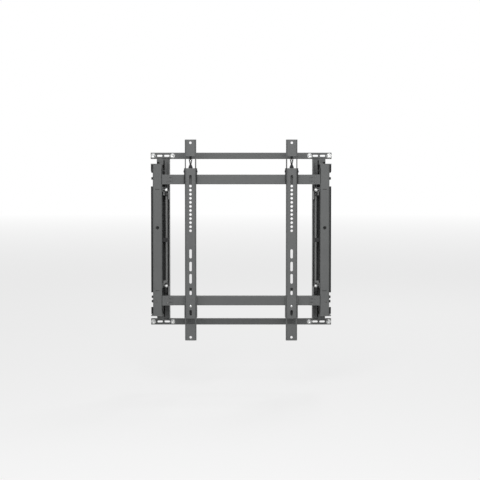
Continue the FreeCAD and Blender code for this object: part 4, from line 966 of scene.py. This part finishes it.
def makeLatchBolts():
    bolt = turned("latchBolt", [
        (0, -0.0127), (0.0026, -0.0127), (0.0030, -0.0123), (0.0030, -0.0107), (0.0043, -0.0107),
        (0.0045, -0.0104), (0.0045, -0.0036), (0.0030, -0.0036), (0.0030, 0), (0.0046, 0),
        (0.0048, 0.0002), (0.0048, 0.0008), (0.0046, 0.0010), (0.0043, 0.0010), (0.0042, 0.0018),
        (0.0037, 0.0026), (0.0028, 0.0030), (0.0019, 0.0030, "cross"), (0.0014, 0.0017, "cross"),
        (0, 0.0014)], 48)
    rows = onLatchPivots(bolt, latchBolt["seat"], anyTurn, 50)
    standIn("latchPivotBolts", "latch_pivot_bolts", rows)
    repaint("latchPivotBolts", zincPlate,
            lambda place, normal: place.y < latchBolt["seat"] - latchBolt["flange"])


latchSpring = {"radius": 0.0052, "turns": 6.5, "length": 0.0056, "wire": 0.00042, "front": -0.0768}


def makeLatchSprings():
    size = latchSpring
    coil = spring(size["radius"], size["turns"], 0, size["length"], size["wire"])
    rows = onLatchPivots(coil, size["front"])
    finishPiece("latchSprings", joined("latchSprings", rows), bodyOf["latch_plates"], "latch_steel")


makeHooks()
makeLatchBolts()
makeLatchSprings()
print("latches ready")


def holeOutline(shape, x, y, low, high, radius, steps=32):  # round where low and high are 2 radii apart
    verts = []
    for step in range(steps):
        angle = 2 * math.pi * (step + 0.5) / steps
        middle = high - radius if math.sin(angle) > 0 else low + radius
        verts.append(shape.verts.new((x + radius * math.cos(angle), y, middle + radius * math.sin(angle))))
    for first, second in zip(verts, verts[1:] + verts[:1]):
        shape.edges.new((first, second))


adapterHoles = {"radius": 0.0042, "face": -0.11185, "first": 0.0295, "pitch": 0.0125, "count": 12,
                "lip": 0.00042, "ends": (0.300, -0.300, -0.2039),
                "slots": ((0.172, 0.2015), (-0.0562, -0.0273), (-0.096, -0.0658), (-0.134, -0.1035),
                          (-0.233, -0.215))}


def makeAdapterRims():
    size = adapterHoles
    for side, sign in sides.items():
        shape = bmesh.new()
        x = sign * adapterX
        rounds = [size["first"] + index * size["pitch"] for index in range(size["count"])]
        for up in rounds + list(size["ends"]):
            holeOutline(shape, x, size["face"], up - size["radius"], up + size["radius"], size["radius"])
        for low, high in size["slots"]:
            holeOutline(shape, x, size["face"], low, high, size["radius"])
        rims = grown(holeRim, meshFrom(shape, "rims"), {"Lip": size["lip"], "Sides": 8})
        finishPiece(sideName("adapterRims", side), rims, bodyOf[f"adapter_{side}"], "powder")
        # painted light: the rims take the lighter copy of the powder coat, as the adapters do
        repaint(sideName("adapterRims", side), powderLitCopy, lambda place, normal: True)


seamBeads = {"bead": 0.0011, "pitch": 0.0013}
seams = {  # way: steps away from the middle, and towards the back
    "endPlateWelds": {"node": "end_plates", "start": (0.2440, -0.092, 0.2336), "way": (0, 1), "count": 30,
                      "seed": 60},
    "cornerWelds": {"node": "corner_brackets", "start": (0.2492, -0.0081, 0.2518), "way": (1, 0), "count": 11,
                    "seed": 70},
}


def makeWelds():
    bead, pitch = seamBeads["bead"], seamBeads["pitch"]
    for name, seam in seams.items():
        x, y, up = seam["start"]
        beads = []
        for index, sign in enumerate(sides.values()):
            step = (sign * seam["way"][0] * pitch, seam["way"][1] * pitch, 0)
            for end in (-1, 1):
                seed = seam["seed"] + 2 * index + (end > 0)
                beads.append(weld((sign * x, y, end * up), step, seam["count"], bead, seed))
        finishPiece(name, joined(name, beads), bodyOf[seam["node"]], "powder")


makeAdapterRims()
makeWelds()
print("rims and welds ready")

for node, solid in frame["nodes"].items():
    if not solid.hide_render:
        solid.data.materials.clear()
        solid.data.materials.append(finishes[slotOf[node]])


# floor and lights
studio = {"floorDrop": 0.16, "floorSize": 60.0, "floorColour": (0.86, 0.86, 0.86, 1.0), "world": 0.20,
          "fadeStart": 2.0, "fadeEnd": 22.0, "fadeLeast": 0.72, "lampSize": 1.2}
lamps = {
    "keyLight": {"place": (-0.25, -2.5, 1.75), "aim": (0, 0, 0.1), "power": 36.0},
    "fillLight": {"place": (0.4, -3.8, 0.9), "aim": (0, 0, 0), "power": 21.0},
    "backLight": {"place": (1.0, 2.6, 3.0), "aim": (0, 0, 0), "power": 40.0},
}
white = (1.0, 1.0, 1.0, 1.0)


def seenDirectly(tree):  # 1 for camera rays, and for what metal and glass mirror
    path = tree.nodes.new("ShaderNodeLightPath").outputs
    mirrored = calc(tree, "MAXIMUM", path["Is Glossy Ray"], path["Is Transmission Ray"])
    return calc(tree, "MAXIMUM", path["Is Camera Ray"], mirrored)


def makeFloor():
    z = cadBox[0].z - studio["floorDrop"]
    reach = studio["floorSize"]
    mesh = bpy.data.meshes.new("floor")
    corners = [(-reach, -reach, z), (reach, -reach, z), (reach, reach, z), (-reach, reach, z)]
    mesh.from_pydata(corners, [], [(0, 1, 2, 3)])
    floor = bpy.data.objects.new("floor", mesh)
    bpy.context.scene.collection.objects.link(floor)
    material = bpy.data.materials.new("paleFloor")
    material.use_nodes = True
    tree = material.node_tree
    tree.nodes.clear()
    leave = tree.nodes.new("ShaderNodeOutputMaterial")
    matt = addNode(tree, "ShaderNodeBsdfDiffuse", {"Color": studio["floorColour"]}).outputs[0]
    glow = addNode(tree, "ShaderNodeEmission", {"Color": white, "Strength": 1.0}).outputs[0]
    place = tree.nodes.new("ShaderNodeTexCoord").outputs["Object"]
    away = addNode(tree, "ShaderNodeVectorMath", {0: place}, operation="LENGTH").outputs["Value"]
    fade = spread(tree, away, studio["fadeStart"], studio["fadeEnd"], studio["fadeLeast"], 1.0)
    shown = calc(tree, "MULTIPLY", seenDirectly(tree), fade)
    mixed = addNode(tree, "ShaderNodeMixShader", {0: shown, 1: matt, 2: glow})
    tree.links.new(mixed.outputs[0], leave.inputs["Surface"])
    mesh.materials.append(material)


def makeWorld():
    world = bpy.data.worlds.new("studio")
    bpy.context.scene.world = world
    world.use_nodes = True
    tree = world.node_tree
    tree.nodes.clear()
    leave = tree.nodes.new("ShaderNodeOutputWorld")
    soft = addNode(tree, "ShaderNodeBackground", {"Color": white, "Strength": studio["world"]}).outputs[0]
    plain = addNode(tree, "ShaderNodeBackground", {"Color": white, "Strength": 1.0}).outputs[0]
    mixed = addNode(tree, "ShaderNodeMixShader", {0: seenDirectly(tree), 1: soft, 2: plain})
    tree.links.new(mixed.outputs[0], leave.inputs["Surface"])


def makeLight(name, place, aim, power):
    data = bpy.data.lights.new(name, "AREA")
    data.shape = "SQUARE"
    data.size = studio["lampSize"]
    data.energy = power
    lamp = bpy.data.objects.new(name, data)
    bpy.context.scene.collection.objects.link(lamp)
    lamp.location = place
    lamp.rotation_euler = (Vector(aim) - Vector(place)).to_track_quat("-Z", "Y").to_euler()


makeFloor()
makeWorld()
for lampName, lamp in lamps.items():
    makeLight(lampName, **lamp)

view = {"distance": 4.2, "elevation": 2.5, "lens": 99.5, "sensor": 36.0, "shiftX": -0.0023, "shiftY": -0.0026}
lift = math.radians(view["elevation"])
cameraData = bpy.data.cameras.new("camera")
cameraData.lens = view["lens"]
cameraData.sensor_width = view["sensor"]
cameraData.shift_x = view["shiftX"]
cameraData.shift_y = view["shiftY"]
camera = bpy.data.objects.new("camera", cameraData)
bpy.context.scene.collection.objects.link(camera)
camera.location = (0, -view["distance"] * math.cos(lift), view["distance"] * math.sin(lift))
camera.rotation_euler = (Vector((0, 0, 0)) - camera.location).to_track_quat("-Z", "Y").to_euler()
bpy.context.scene.camera = camera
bpy.context.scene.view_settings.view_transform = "Standard"
print("stage, lights and camera ready")
